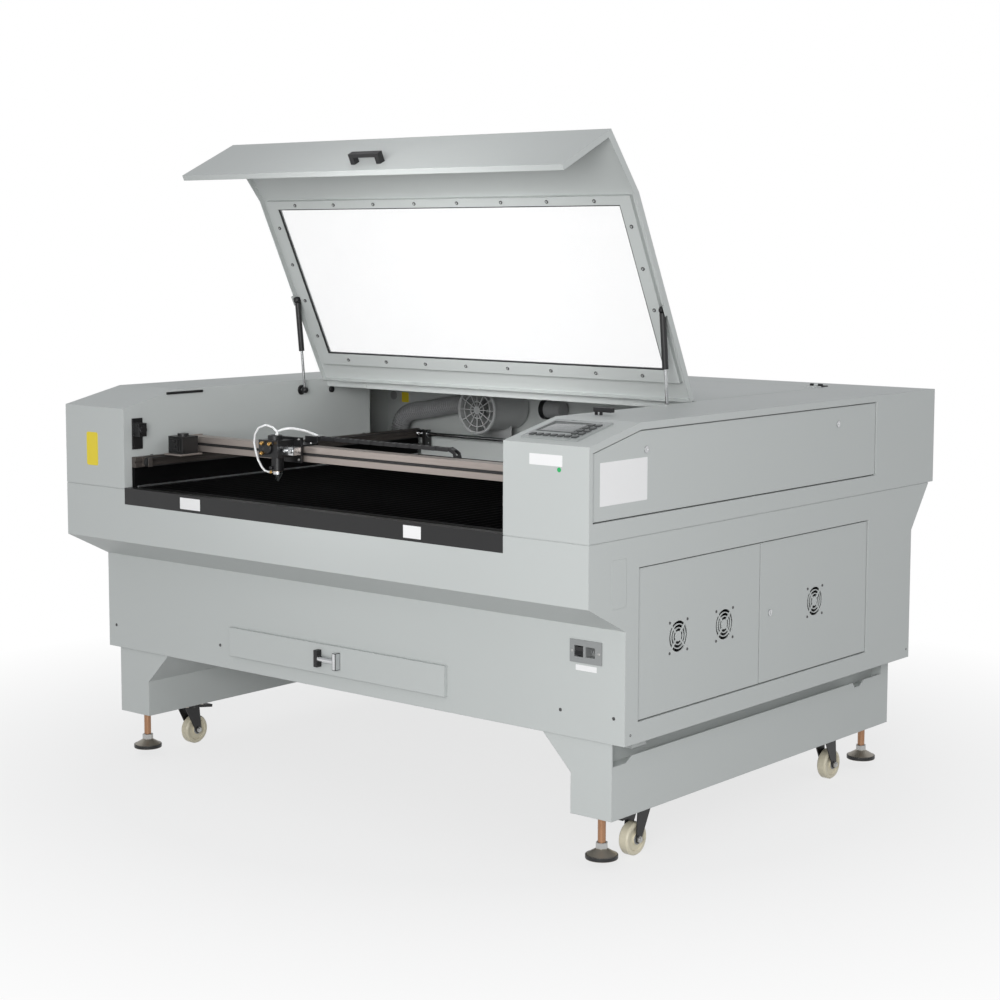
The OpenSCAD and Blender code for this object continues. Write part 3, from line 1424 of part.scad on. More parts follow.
// Moving leaf on the rear flange, with the middle knuckle
module lid_leaf() {
    leaf_low = top_z - lid_flange - lid_sheet;
    difference() {
        union() {
            slab([-hinge_w / 2, lid_rear_y, leaf_low],
                [hinge_w / 2, lid_rear_y + 2, hinge_z - hinge_r - 0.5]);
            slab([-hinge_w / 6 + touch, lid_rear_y, leaf_low],
                [hinge_w / 6 - touch, lid_rear_y + 2, hinge_z]);
            translate([-hinge_w / 6 + touch, hinge_y, hinge_z]) rod_x(hinge_r, hinge_w / 3 - 2 * touch);
        }
        translate([-hinge_w / 2, hinge_y, hinge_z]) rod_x(hinge_pin_r + fit, hinge_w);
    }
}

module lid_window() {
    color([0.9, 0.93, 0.95, 0.4]) placed() on_lid()
        slab([-window_w / 2 - pane_lap, window_front - pane_lap, pane_top_z - pane_t],
            [window_w / 2 + pane_lap, window_front + window_d + pane_lap, pane_top_z]);
}

// Stepped retaining frame under the pane, with its screw heads
module lid_retainer() {
    x1 = window_w / 2 + retainer_w;
    y0 = window_front - retainer_front;
    y1 = window_front + window_d + retainer_w;
    mid = retainer_w / 2;
    color(grey_paint) placed() on_lid() {
        difference() {
            slab([-x1, y0, retainer_z - retainer_t], [x1, y1, pane_top_z]);
            slab([-window_w / 2 - pane_lap - touch, window_front - pane_lap - touch, retainer_z],
                [window_w / 2 + pane_lap + touch, window_front + window_d + pane_lap + touch, top_z]);
            slab([-window_w / 2, window_front, retainer_z - 2 * retainer_t],
                [window_w / 2, window_front + window_d, top_z]);
        }
        for (k = [0 : retainer_screws - 1])
            let (x = (k + 0.5) * window_w / retainer_screws - window_w / 2) {
            retainer_screw(x, (y0 + window_front) / 2);
            retainer_screw(x, y1 - mid);
        }
        for (x = [-x1 + mid, x1 - mid]) for (k = [0 : 3])
            retainer_screw(x, window_front + (k + 0.5) * window_d / 4);
    }
}
retainer_front = 24;

module retainer_screw(x, y) {
    translate([x, y, retainer_z - retainer_t - 2]) cylinder(r = 4.5, h = 2.5, $fn = 24);
}

module lid_handle() {
    color(dark_metal) placed() on_lid() translate([0, lip_y, lip_z + 46]) {
        for (s = [-1, 1]) slab([s * 44 - 7, -22, -9], [s * 44 + 7, 0, 9]);
        slab([-51, -28, -9], [51, -18, 9]);
    }
}

// ---------- Struts ----------

module at_strut(side) {
    color(dark_metal) placed() scale([side, 1, 1]) translate([strut_x, strut_foot[0], strut_foot[1]])
        rotate([strut_angle - 90, 0, 0]) children();
}

// Piston rod standing on the stud; Z runs along the strut
module strut_rod(side) {
    eye_w = 7;
    at_strut(side) difference() {
        union() {
            translate([-eye_w / 2, 0, 0]) rod_x(strut_eye_r, eye_w);
            cylinder(r = strut_rod_r, h = norm(strut_run) - strut_l + 2.5 * strut_eye_r);
        }
        translate([-eye_w, 0, 0]) rod_x(strut_rod_r + fit, 2 * eye_w);
    }
}

module strut_cylinder(side) {
    head = norm(strut_run);
    at_strut(side) {
        difference() {
            translate([0, 0, head - strut_l]) cylinder(r = strut_r, h = strut_l - strut_eye_r);
            translate([0, 0, head - strut_l - e])
                cylinder(r = strut_rod_r + fit, h = strut_l - 3 * strut_eye_r);
        }
        translate([-5, 0, head]) rod_x(strut_eye_r - 1, 5 + lid_half - lid_sheet - touch - strut_x);
        translate([-5, 0, head - strut_eye_r - e]) slab([0, -5, 0], [10, 5, strut_eye_r]);
    }
}

module strut_rod_left() { strut_rod(LEFT); }
module strut_rod_right() { strut_rod(RIGHT); }
module strut_cylinder_left() { strut_cylinder(LEFT); }
module strut_cylinder_right() { strut_cylinder(RIGHT); }

base_left();
base_right();
cabinet();
upper_body();
front_apron();
bed_frame();
bed_blades();
y_rails();
y_belts();
y_motor();
exhaust_duct();
exhaust_hose();
laser_tube();
tube_holders();
mirror_mount();
control_panel();
mains_plate();
power_supply();
levelling_feet();
caster_plates();
hatch_hinges();
rocker_switch();
drive_shaft();
lid();
lid_window();
lid_retainer();
lid_handle();
strut_rod_left();
strut_rod_right();
strut_cylinder_left();
strut_cylinder_right();
rear_hatch();
side_panel();
panel_lock_front();
panel_lock_rear();
door_front();
door_rear();
door_lock();
fan_frames_front();
fan_frame_rear();
fan_rotor_1();
fan_rotor_2();
fan_rotor_3();
drawer();
drawer_handle();
gantry_beam();
x_motor();
carriage();
laser_head();
lens_tube();
air_hose();
cable_chain();
caster_fork_front_left();
caster_fork_front_right();
caster_fork_rear_left();
caster_fork_rear_right();
caster_wheel_front_left();
caster_wheel_front_right();
caster_wheel_rear_left();
caster_wheel_rear_right();
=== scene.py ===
"""Finishes and small fittings of a flat-bed laser engraving machine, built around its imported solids."""

import math

import bmesh
import bpy
from bpy.props import FloatProperty, FloatVectorProperty, IntProperty, PointerProperty
from mathutils import Matrix, Vector


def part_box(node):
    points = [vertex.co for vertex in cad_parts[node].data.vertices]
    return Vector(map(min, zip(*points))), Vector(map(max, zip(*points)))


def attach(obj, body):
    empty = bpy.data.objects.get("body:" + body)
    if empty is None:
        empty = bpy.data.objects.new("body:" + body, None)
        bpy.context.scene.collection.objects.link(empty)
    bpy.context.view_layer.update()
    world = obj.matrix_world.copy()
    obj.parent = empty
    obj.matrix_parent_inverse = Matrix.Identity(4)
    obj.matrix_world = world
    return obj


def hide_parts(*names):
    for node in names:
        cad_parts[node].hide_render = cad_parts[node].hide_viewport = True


bl_info = {
    "name": "Laser engraving machine",
    "version": (1, 0, 0),
    "blender": (4, 5, 0),
    "location": "View3D > Sidebar > Machine",
    "description": "Finishes, fittings and stage of a flat-bed laser engraving machine",
    "category": "Object",
}

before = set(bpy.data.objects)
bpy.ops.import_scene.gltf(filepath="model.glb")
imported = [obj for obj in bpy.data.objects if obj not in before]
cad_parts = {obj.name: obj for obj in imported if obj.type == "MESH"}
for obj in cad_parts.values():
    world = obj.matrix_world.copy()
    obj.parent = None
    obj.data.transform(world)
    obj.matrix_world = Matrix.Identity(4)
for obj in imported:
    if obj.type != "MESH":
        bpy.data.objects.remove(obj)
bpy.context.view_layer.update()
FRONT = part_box("upper_body")[0].y
MM = 0.001
FOOT_X, AXLE_HEIGHT, CASTER_TRAIL = 801, 40, 26  # millimetres, as at() takes them
X, Y, Z = Vector((1, 0, 0)), Vector((0, 1, 0)), Vector((0, 0, 1))


# ---------------------------------------------------------------- settings

class FinishSettings(bpy.types.PropertyGroup):
    coat_grey: FloatVectorProperty(
        name="Powder coat", description="Colour of the painted sheet metal", subtype="COLOR",
        size=3, min=0, max=1, default=(0.535, 0.560, 0.550))
    coat_roughness: FloatProperty(
        name="Coat roughness", description="Roughness of the powder coat", min=0, max=1, default=0.46)
    black_coat: FloatVectorProperty(
        name="Black coat", description="Colour of the black painted metal", subtype="COLOR",
        size=3, min=0, max=1, default=(0.009, 0.009, 0.0095))
    bed_black: FloatVectorProperty(
        name="Bed black", description="Colour of the bed and its blades", subtype="COLOR",
        size=3, min=0, max=1, default=(0.002, 0.002, 0.0022))
    bronze: FloatVectorProperty(
        name="Bronze anodising", description="Colour of the rails and the beam", subtype="COLOR",
        size=3, min=0, max=1, default=(0.41, 0.36, 0.33))
    edge_radius: FloatProperty(
        name="Edge radius", description="Softness of folded edges in the shading", unit="LENGTH",
        min=0, max=0.005, default=0.0016)


class TrimSettings(bpy.types.PropertyGroup):
    label_white: FloatVectorProperty(
        name="Label white", description="Colour of the blank labels", subtype="COLOR",
        size=3, min=0, max=1, default=(0.86, 0.86, 0.86))
    label_yellow: FloatVectorProperty(
        name="Label yellow", description="Colour of the blank yellow fields", subtype="COLOR",
        size=3, min=0, max=1, default=(0.83, 0.66, 0.03))
    link_count: IntProperty(
        name="Chain links", description="Links of the cable chain", min=12, max=60, default=32)
    hose_pitch: FloatProperty(
        name="Hose pitch", description="Distance between two rings of the fume hose", unit="LENGTH",
        min=0.004, max=0.03, default=0.0085)


class StageSettings(bpy.types.PropertyGroup):
    floor_size: FloatProperty(
        name="Floor size", description="Side of the square floor", unit="LENGTH", min=5, max=60, default=40)
    key_power: FloatProperty(
        name="Key light", description="Power of the large front light in watts", min=0, max=5000, default=116)
    fill_power: FloatProperty(
        name="Fill light", description="Power of the light on the right side in watts",
        min=0, max=5000, default=18)
    bay_power: FloatProperty(
        name="Bay light", description="Power of the soft light into the open bay in watts",
        min=0, max=500, default=2)
    world_strength: FloatProperty(
        name="Surroundings", description="Strength of the even light all round", min=0, max=3, default=0.58)
    lens: FloatProperty(
        name="Lens", description="Focal length of the camera in millimetres", min=20, max=200, default=72.3)


# ---------------------------------------------------------------- shared shader groups

def new_group(name, inputs, outputs):
    """Shader group with its sockets: the tree, its input node and its output node."""
    tree = bpy.data.node_groups.new(name, "ShaderNodeTree")
    for label, kind, value in inputs:
        socket = tree.interface.new_socket(name=label, in_out="INPUT", socket_type=kind)
        socket.default_value = value
    for label, kind in outputs:
        tree.interface.new_socket(name=label, in_out="OUTPUT", socket_type=kind)
    entry = tree.nodes.new("NodeGroupInput")
    leave = tree.nodes.new("NodeGroupOutput")
    return tree, entry, leave


def add(tree, kind, **values):
    node = tree.nodes.new(kind)
    for key, value in values.items():
        if key.startswith("in_"):
            node.inputs[key[3:].replace("_", " ")].default_value = value
        else:
            setattr(node, key, value)
    return node


def math_node(tree, operation, a, b=None, clamp=False):
    node = add(tree, "ShaderNodeMath", operation=operation, use_clamp=clamp)
    for slot, value in enumerate((a, b)):
        if value is None:
            continue
        if isinstance(value, (int, float)):
            node.inputs[slot].default_value = value
        else:
            tree.links.new(value, node.inputs[slot])
    return node.outputs[0]


def mix_colour(tree, factor, a, b, blend="MIX"):
    node = add(tree, "ShaderNodeMix", data_type="RGBA", blend_type=blend)
    for socket, value in ((node.inputs[0], factor), (node.inputs[6], a), (node.inputs[7], b)):
        if isinstance(value, bpy.types.NodeSocket):
            tree.links.new(value, socket)
        else:
            socket.default_value = value
    return node.outputs[2]


def ramp(tree, value, low, high):
    node = add(tree, "ShaderNodeMapRange", clamp=True)
    tree.links.new(value, node.inputs["Value"])
    node.inputs["From Min"].default_value = low
    node.inputs["From Max"].default_value = high
    return node.outputs["Result"]


def build_fine_grain():
    """Even grain with a slow change of shade: a height, a mask and a shaded colour."""
    tree, entry, leave = new_group(
        "Fine Grain",
        [("Colour", "NodeSocketColor", (0.5, 0.5, 0.5, 1)), ("Grain Scale", "NodeSocketFloat", 900.0),
         ("Shade Scale", "NodeSocketFloat", 3.0), ("Shade Spread", "NodeSocketFloat", 0.06)],
        [("Colour", "NodeSocketColor"), ("Mask", "NodeSocketFloat"), ("Height", "NodeSocketFloat")])
    place = add(tree, "ShaderNodeTexCoord").outputs["Object"]
    fine = add(tree, "ShaderNodeTexNoise", in_Detail=2.0, in_Roughness=0.55)
    slow = add(tree, "ShaderNodeTexNoise", in_Detail=3.0, in_Roughness=0.6)
    for node, scale in ((fine, "Grain Scale"), (slow, "Shade Scale")):
        tree.links.new(place, node.inputs["Vector"])
        tree.links.new(entry.outputs[scale], node.inputs["Scale"])
    centred = math_node(tree, "SUBTRACT", slow.outputs["Fac"], 0.5)
    speck = math_node(tree, "SUBTRACT", fine.outputs["Fac"], 0.5)
    both = math_node(tree, "ADD", centred, math_node(tree, "MULTIPLY", speck, 0.5))
    shade = math_node(tree, "ADD", math_node(tree, "MULTIPLY", both, entry.outputs["Shade Spread"]), 1.0)
    gain = add(tree, "ShaderNodeCombineColor")
    for channel in range(3):
        tree.links.new(shade, gain.inputs[channel])
    colour = mix_colour(tree, 1.0, entry.outputs["Colour"], gain.outputs[0], "MULTIPLY")
    tree.links.new(colour, leave.inputs["Colour"])
    tree.links.new(ramp(tree, slow.outputs["Fac"], 0.35, 0.65), leave.inputs["Mask"])
    tree.links.new(fine.outputs["Fac"], leave.inputs["Height"])
    return tree


def build_soft_edge():
    """Rounded-edge normal, and a mask of the edges broken up by noise, which puts a painted highlight on the
    edges along with wear.
    """
    tree, entry, leave = new_group(
        "Soft Edge",
        [("Radius", "NodeSocketFloat", 0.0015), ("Wear And Highlight Scale", "NodeSocketFloat", 60.0)],
        [("Normal", "NodeSocketVector"), ("Wear And Highlight", "NodeSocketFloat")])
    bevel = add(tree, "ShaderNodeBevel", samples=4)
    tree.links.new(entry.outputs["Radius"], bevel.inputs["Radius"])
    geometry = add(tree, "ShaderNodeNewGeometry")
    dot = add(tree, "ShaderNodeVectorMath", operation="DOT_PRODUCT")
    tree.links.new(bevel.outputs[0], dot.inputs[0])
    tree.links.new(geometry.outputs["Normal"], dot.inputs[1])
    turn = math_node(tree, "SUBTRACT", 1.0, dot.outputs["Value"])
    noise = add(tree, "ShaderNodeTexNoise", in_Detail=4.0)
    tree.links.new(add(tree, "ShaderNodeTexCoord").outputs["Object"], noise.inputs["Vector"])
    tree.links.new(entry.outputs["Wear And Highlight Scale"], noise.inputs["Scale"])
    # Edge mask times patchy noise: the lighter edges are a painted highlight along with wear.
    wear_and_highlight = math_node(tree, "MULTIPLY", ramp(tree, turn, 0.02, 0.25),
                     ramp(tree, noise.outputs["Fac"], 0.35, 0.6), True)
    tree.links.new(bevel.outputs[0], leave.inputs["Normal"])
    tree.links.new(wear_and_highlight, leave.inputs["Wear And Highlight"])
    return tree


def build_brushed():
    """Fine lines along one axis, as on drawn or brushed metal."""
    tree, entry, leave = new_group(
        "Brushed Lines",
        [("Stretch", "NodeSocketVector", (2.0, 600.0, 600.0)), ("Seed Shift", "NodeSocketFloat", 0.0)],
        [("Mask", "NodeSocketFloat"), ("Height", "NodeSocketFloat")])
    scaled = add(tree, "ShaderNodeVectorMath", operation="MULTIPLY")
    tree.links.new(add(tree, "ShaderNodeTexCoord").outputs["Object"], scaled.inputs[0])
    tree.links.new(entry.outputs["Stretch"], scaled.inputs[1])
    lines = add(tree, "ShaderNodeTexNoise", noise_dimensions="4D", in_Scale=1.0, in_Detail=2.0)
    tree.links.new(scaled.outputs[0], lines.inputs["Vector"])
    tree.links.new(entry.outputs["Seed Shift"], lines.inputs["W"])
    tree.links.new(ramp(tree, lines.outputs["Fac"], 0.3, 0.7), leave.inputs["Mask"])
    tree.links.new(lines.outputs["Fac"], leave.inputs["Height"])
    return tree


def build_dust():
    """Thin dust that gathers on faces that look up."""
    tree, entry, leave = new_group(
        "Settled Dust",
        [("Amount", "NodeSocketFloat", 0.3), ("Patch Scale", "NodeSocketFloat", 14.0)],
        [("Mask", "NodeSocketFloat")])
    geometry = add(tree, "ShaderNodeNewGeometry")
    split = add(tree, "ShaderNodeSeparateXYZ")
    tree.links.new(geometry.outputs["Normal"], split.inputs[0])
    up = ramp(tree, split.outputs["Z"], 0.6, 1.0)
    noise = add(tree, "ShaderNodeTexNoise", in_Detail=6.0, in_Roughness=0.65)
    tree.links.new(add(tree, "ShaderNodeTexCoord").outputs["Object"], noise.inputs["Vector"])
    tree.links.new(entry.outputs["Patch Scale"], noise.inputs["Scale"])
    patch = math_node(tree, "MULTIPLY", ramp(tree, noise.outputs["Fac"], 0.4, 0.75), up)
    tree.links.new(math_node(tree, "MULTIPLY", patch, entry.outputs["Amount"], True), leave.inputs["Mask"])
    return tree


GROUPS = {}


def shared(name):
    """The shader group of that name, built when it is first needed."""
    makers = {"Fine Grain": build_fine_grain, "Soft Edge": build_soft_edge,
              "Brushed Lines": build_brushed, "Settled Dust": build_dust}
    if name not in GROUPS:
        GROUPS[name] = makers[name]()
    return GROUPS[name]


def place_group(tree, name, **values):
    """Puts a shared group into a material, with the sockets that are given."""
    node = tree.nodes.new("ShaderNodeGroup")
    node.node_tree = shared(name)
    for key, value in values.items():
        node.inputs[key.replace("_", " ")].default_value = value
    return node


# ---------------------------------------------------------------- finishes

def rgba(colour):
    return tuple(colour) + (1.0,) if len(colour) == 3 else tuple(colour)


def scaled(colour, gain):
    return tuple(min(1.0, c * gain) for c in colour)


def start_material(name):
    made = bpy.data.materials.new(name)
    made.use_nodes = True
    tree = made.node_tree
    return made, tree, tree.nodes["Principled BSDF"]


def join_normal(tree, shader, height, strength, distance, normal=None):
    bump = add(tree, "ShaderNodeBump")
    bump.inputs["Strength"].default_value = strength
    bump.inputs["Distance"].default_value = distance
    tree.links.new(height, bump.inputs["Height"])
    if normal is not None:
        tree.links.new(normal, bump.inputs["Normal"])
    tree.links.new(bump.outputs[0], shader.inputs["Normal"])


def coated(name, colour, roughness=0.45, grain=900.0, relief=0.12, spread=0.05, shade_scale=3.0,
           edge=0.0016, wear_and_highlight=None, dust=0.0, metallic=0.0, specular=0.5, coat=0.0):
    """Painted, moulded or plated surface with grain, soft edges, lighter edges of painted highlight along
    with wear, and dust.
    """
    made, tree, shader = start_material(name)
    grained = place_group(tree, "Fine Grain", Colour=rgba(colour), Grain_Scale=grain,
                          Shade_Scale=shade_scale, Shade_Spread=spread)
    edged = place_group(tree, "Soft Edge", Radius=edge)
    colour_out = grained.outputs["Colour"]
    # The edge colour goes on the edges: a painted highlight along with wear.
    if wear_and_highlight is not None:
        colour_out = mix_colour(tree, edged.outputs["Wear And Highlight"], colour_out, rgba(wear_and_highlight))
    if dust:
        film = place_group(tree, "Settled Dust", Amount=dust)
        colour_out = mix_colour(tree, film.outputs["Mask"], colour_out, (0.55, 0.54, 0.52, 1))
    tree.links.new(colour_out, shader.inputs["Base Color"])
    rough = math_node(tree, "ADD", math_node(tree, "MULTIPLY", grained.outputs["Mask"], 0.08),
                      roughness - 0.04)
    tree.links.new(rough, shader.inputs["Roughness"])
    shader.inputs["Metallic"].default_value = metallic
    shader.inputs["Specular IOR Level"].default_value = specular
    shader.inputs["Coat Weight"].default_value = coat
    join_normal(tree, shader, grained.outputs["Height"], relief, 0.0004, edged.outputs["Normal"])
    return made


def brushed(name, colour, roughness=0.32, stretch=(2.0, 600.0, 600.0), edge=0.0008, spread=0.18,
            metallic=1.0):
    """Metal with fine lines along one axis."""
    made, tree, shader = start_material(name)
    lines = place_group(tree, "Brushed Lines", Stretch=stretch)
    edged = place_group(tree, "Soft Edge", Radius=edge)
    colour_out = mix_colour(tree, lines.outputs["Mask"], rgba(scaled(colour, 1 - spread)), rgba(colour))
    tree.links.new(colour_out, shader.inputs["Base Color"])
    rough = math_node(tree, "ADD", math_node(tree, "MULTIPLY", lines.outputs["Mask"], 0.14), roughness - 0.07)
    tree.links.new(rough, shader.inputs["Roughness"])
    shader.inputs["Metallic"].default_value = metallic
    join_normal(tree, shader, lines.outputs["Height"], 0.15, 0.0002, edged.outputs["Normal"])
    return made


def clear(name, colour, roughness=0.03, alpha=0.3, smear=8.0):
    """Clear sheet: a thin see-through film with faint smears, and gloss from its own shader."""
    made, tree, shader = start_material(name)
    grained = place_group(tree, "Fine Grain", Colour=rgba(colour), Grain_Scale=smear * 6,
                          Shade_Scale=smear, Shade_Spread=0.05)
    tree.links.new(grained.outputs["Colour"], shader.inputs["Base Color"])
    rough = math_node(tree, "ADD", math_node(tree, "MULTIPLY", grained.outputs["Mask"], 0.05), roughness)
    tree.links.new(rough, shader.inputs["Roughness"])
    haze = math_node(tree, "ADD", math_node(tree, "MULTIPLY", grained.outputs["Mask"], 0.012), alpha)
    tree.links.new(haze, shader.inputs["Alpha"])
    return made


def build_finishes(settings):
    grey = tuple(settings.coat_grey)
    radius = settings.edge_radius
    rough = settings.coat_roughness
    label_white = tuple(bpy.context.scene.machine_trim.label_white)
    label_yellow = tuple(bpy.context.scene.machine_trim.label_yellow)
    # In each coated finish the colour after the edge radius goes on the edges, lighter than the coat in
    # nearly all: a painted highlight along with wear.
    return {
        "powder": coated("powder_coat_grey", grey, rough, 750, 0.10, 0.035, 2.5, radius, scaled(grey, 1.16),
                         0.05, specular=0.34),
        "black": coated("black_coat", tuple(settings.black_coat), 0.38, 1200, 0.15, 0.3, 12, 0.0012,
                        (0.10, 0.10, 0.10), 0.05),
        "bed": coated("bed_black_coat", tuple(settings.bed_black), 0.62, 700, 0.3, 0.4, 10, 0.0006,
                      (0.02, 0.02, 0.022), 0.0, specular=0.12),
        "bronze": brushed("bronze_anodised_x", tuple(settings.bronze), 0.42, (3.0, 700, 700), 0.0012, 0.12,
                          0.55),
        # The rails' copy of the bronze at 0.3 of the beam's: the same anodising with painted shade.
        "bronze_long_painted_shade": brushed("bronze_anodised_y_painted_shade", scaled(settings.bronze, 0.3), 0.42, (700, 3.0, 700),
                               0.0012, 0.12, 0.55),
        "zinc": coated("zinc_plate", (0.46, 0.42, 0.36), 0.34, 1500, 0.2, 0.3, 25, 0.0012,
                       (0.62, 0.58, 0.52), 0.1, 0.85),
        "steel": brushed("bright_steel", (0.62, 0.63, 0.64), 0.22, (500, 500, 4.0)),
        "chrome": brushed("polished_bar", (0.72, 0.73, 0.74), 0.16, (4.0, 400, 400)),
        "anodised": coated("black_anodised", (0.014, 0.014, 0.015), 0.34, 1600, 0.2, 0.3, 30, 0.0009,
                           (0.16, 0.16, 0.17), 0.0, 0.3),
        "brass": coated("brass_turned", (0.58, 0.36, 0.13), 0.28, 900, 0.1, 0.2, 60, 0.0005, (0.8, 0.6, 0.3),
                        0, 1.0),
        "plastic": coated("black_plastic", (0.011, 0.011, 0.012), 0.42, 1300, 0.25, 0.25, 20, 0.001,
                          (0.05, 0.05, 0.05)),
        "nylon": coated("cream_nylon", (0.70, 0.65, 0.50), 0.36, 500, 0.1, 0.12, 20, 0.0012,
                        (0.75, 0.72, 0.6), 0.15),
        "duct": coated("grey_moulding", (0.44, 0.45, 0.45), 0.40, 600, 0.12, 0.10, 14, 0.001,
                       (0.5, 0.5, 0.5), 0.05),
        "hose": coated("grey_hose", (0.31, 0.315, 0.32), 0.45, 500, 0.1, 0.2, 30, 0.0006, (0.3, 0.3, 0.3)),
        "tube": coated("white_hose", (0.74, 0.75, 0.75), 0.30, 400, 0.05, 0.08, 40, 0.0004),
        "belt": coated("belt_rubber", (0.018, 0.018, 0.018), 0.6, 900, 0.3, 0.3, 30, 0.0005),
        "keypad": coated("keypad_film", (0.34, 0.36, 0.355), 0.30, 300, 0.04, 0.05, 20, 0.0008,
                         (0.42, 0.44, 0.43)),
        "key": coated("key_cap", (0.055, 0.06, 0.06), 0.34, 300, 0.05, 0.1, 40, 0.0006, (0.15, 0.15, 0.15)),
        "screen": coated("display_window", (0.16, 0.175, 0.17), 0.12, 100, 0.01, 0.04, 12, 0.0004, coat=0.6),
        "mains": coated("mains_plate_grey", (0.28, 0.29, 0.29), 0.36, 600, 0.1, 0.08, 20, 0.0008,
                        (0.3, 0.3, 0.3)),
        "strip": brushed("edge_strip", (0.66, 0.67, 0.68), 0.34, (700, 4.0, 700)),
        "copper": coated("copper_screw", (0.42, 0.22, 0.12), 0.36, 900, 0.1, 0.2, 60, 0.0003,
                         (0.6, 0.4, 0.25), 0, 0.8),
        "glass": clear("window_pane", (0.95, 0.955, 0.97), 0.03, 0.10),
        "tube_glass": clear("laser_glass", (0.75, 0.82, 0.88), 0.02, 0.42, 20),
        "white": coated("label_white", label_white, 0.32, 200, 0.03, 0.03, 20, 0.0003),
        "yellow": coated("label_yellow", label_yellow, 0.34, 200, 0.03, 0.06, 20, 0.0003),
        "green": coated("green_dot", (0.02, 0.42, 0.12), 0.3, 200, 0.03, 0.1, 30, 0.0003),
        "screw": coated("screw_head", (0.50, 0.50, 0.49), 0.30, 1200, 0.1, 0.2, 80, 0.0004, (0.7, 0.7, 0.7),
                        0, 0.8),
        "dark_screw": coated("dark_screw", (0.10, 0.10, 0.10), 0.35, 1200, 0.1, 0.2, 80, 0.0004,
                             (0.3, 0.3, 0.3), 0, 0.6),
    }


NODE_FINISH = {
    "powder": ["base_left", "base_right", "cabinet", "upper_body", "lid", "lid_retainer", "rear_hatch",
               "side_panel", "door_front", "door_rear", "drawer"],
    "black": ["front_apron", "hatch_hinges", "x_motor", "y_motor",
              "strut_cylinder_left", "strut_cylinder_right",
              "caster_fork_front_left", "caster_fork_front_right",
              "caster_fork_rear_left", "caster_fork_rear_right"],
    "bed": ["bed_frame", "bed_blades"],
    "bronze": ["gantry_beam"],
    # The rails get the darker copy of the bronze: painted shade.
    "bronze_long_painted_shade": ["y_rails"],
    "zinc": ["levelling_feet", "caster_plates", "power_supply"],
    "steel": ["strut_rod_left", "strut_rod_right", "lens_tube", "door_lock", "panel_lock_front",
              "panel_lock_rear"],
    "chrome": ["drive_shaft", "drawer_handle"],
    "anodised": ["carriage", "laser_head", "mirror_mount", "tube_holders"],
    "plastic": ["lid_handle", "cable_chain", "rocker_switch", "fan_frames_front", "fan_frame_rear",
                "fan_rotor_1", "fan_rotor_2", "fan_rotor_3"],
    "mains": ["mains_plate"],
    "nylon": ["caster_wheel_front_left", "caster_wheel_front_right", "caster_wheel_rear_left",
              "caster_wheel_rear_right"],
    "duct": ["exhaust_duct"],
    "hose": ["exhaust_hose"],
    "tube": ["air_hose"],
    "belt": ["y_belts"],
    "keypad": ["control_panel"],
    "glass": ["lid_window"],
    "tube_glass": ["laser_tube"],
}
FINISH = {}


# ---------------------------------------------------------------- mesh helpers

def at(x, y, z):
    """Point from millimetres across, back from the front face, and up from the floor."""
    return Vector((x * MM, FRONT + y * MM, z * MM))


def mm_box(bm, low, high, bevel=0.0):
    """Box between two places in the millimetres of at(), with its edges rounded."""
    add_box(bm, at(*low), at(*high), bevel * MM)


def turn_to(axis, start=Z):
    return start.rotation_difference(Vector(axis)).to_matrix().to_4x4()


def add_box(bm, low, high, bevel=0.0, segments=2):
    low, high = Vector(low), Vector(high)
    made = bmesh.ops.create_cube(bm, size=1.0)
    size = high - low
    bmesh.ops.scale(bm, vec=size, verts=made["verts"])
    bmesh.ops.translate(bm, vec=(low + high) / 2, verts=made["verts"])
    if bevel:
        edges = list({edge for vert in made["verts"] for edge in vert.link_edges})
        bmesh.ops.bevel(bm, geom=edges, offset=bevel, segments=segments, profile=0.7, affect="EDGES")


def add_turned(bm, profile, place, steps=32):
    """Solid of revolution about local Z: profile is (radius, height) pairs; place is its matrix."""
    rings = []
    for radius, height in profile:
        if radius < 1e-7:
            rings.append([bm.verts.new(place @ Vector((0, 0, height)))])
        else:
            rings.append([bm.verts.new(place @ Vector((radius * math.cos(a), radius * math.sin(a), height)))
                          for a in (math.tau * k / steps for k in range(steps))])
    for low, high in zip(rings, rings[1:]):
        for k in range(steps):
            n = (k + 1) % steps
            if len(low) == 1 and len(high) == 1:
                continue
            if len(low) == 1:
                bm.faces.new((low[0], high[n], high[k]))
            elif len(high) == 1:
                bm.faces.new((low[k], low[n], high[0]))
            else:
                bm.faces.new((low[k], low[n], high[n], high[k]))


def add_tube(bm, points, radius, sides=12, ends=True):
    """Round tube along a list of points, with one radius or one for every point."""
    points = [Vector(p) for p in points]
    radii = radius if isinstance(radius, list) else [radius] * len(points)
    rings = []
    side = None
    for i, point in enumerate(points):
        ahead = (points[min(i + 1, len(points) - 1)] - points[max(i - 1, 0)]).normalized()
        if side is None:
            side = ahead.orthogonal().normalized()
        side = (side - ahead * side.dot(ahead)).normalized()
        over = ahead.cross(side)
        rings.append([bm.verts.new(point + radii[i] * (math.cos(a) * side + math.sin(a) * over))
                      for a in (math.tau * k / sides for k in range(sides))])
    for low, high in zip(rings, rings[1:]):
        for k in range(sides):
            n = (k + 1) % sides
            bm.faces.new((low[k], low[n], high[n], high[k]))
    if ends:
        bm.faces.new(list(reversed(rings[0])))
        bm.faces.new(rings[-1])


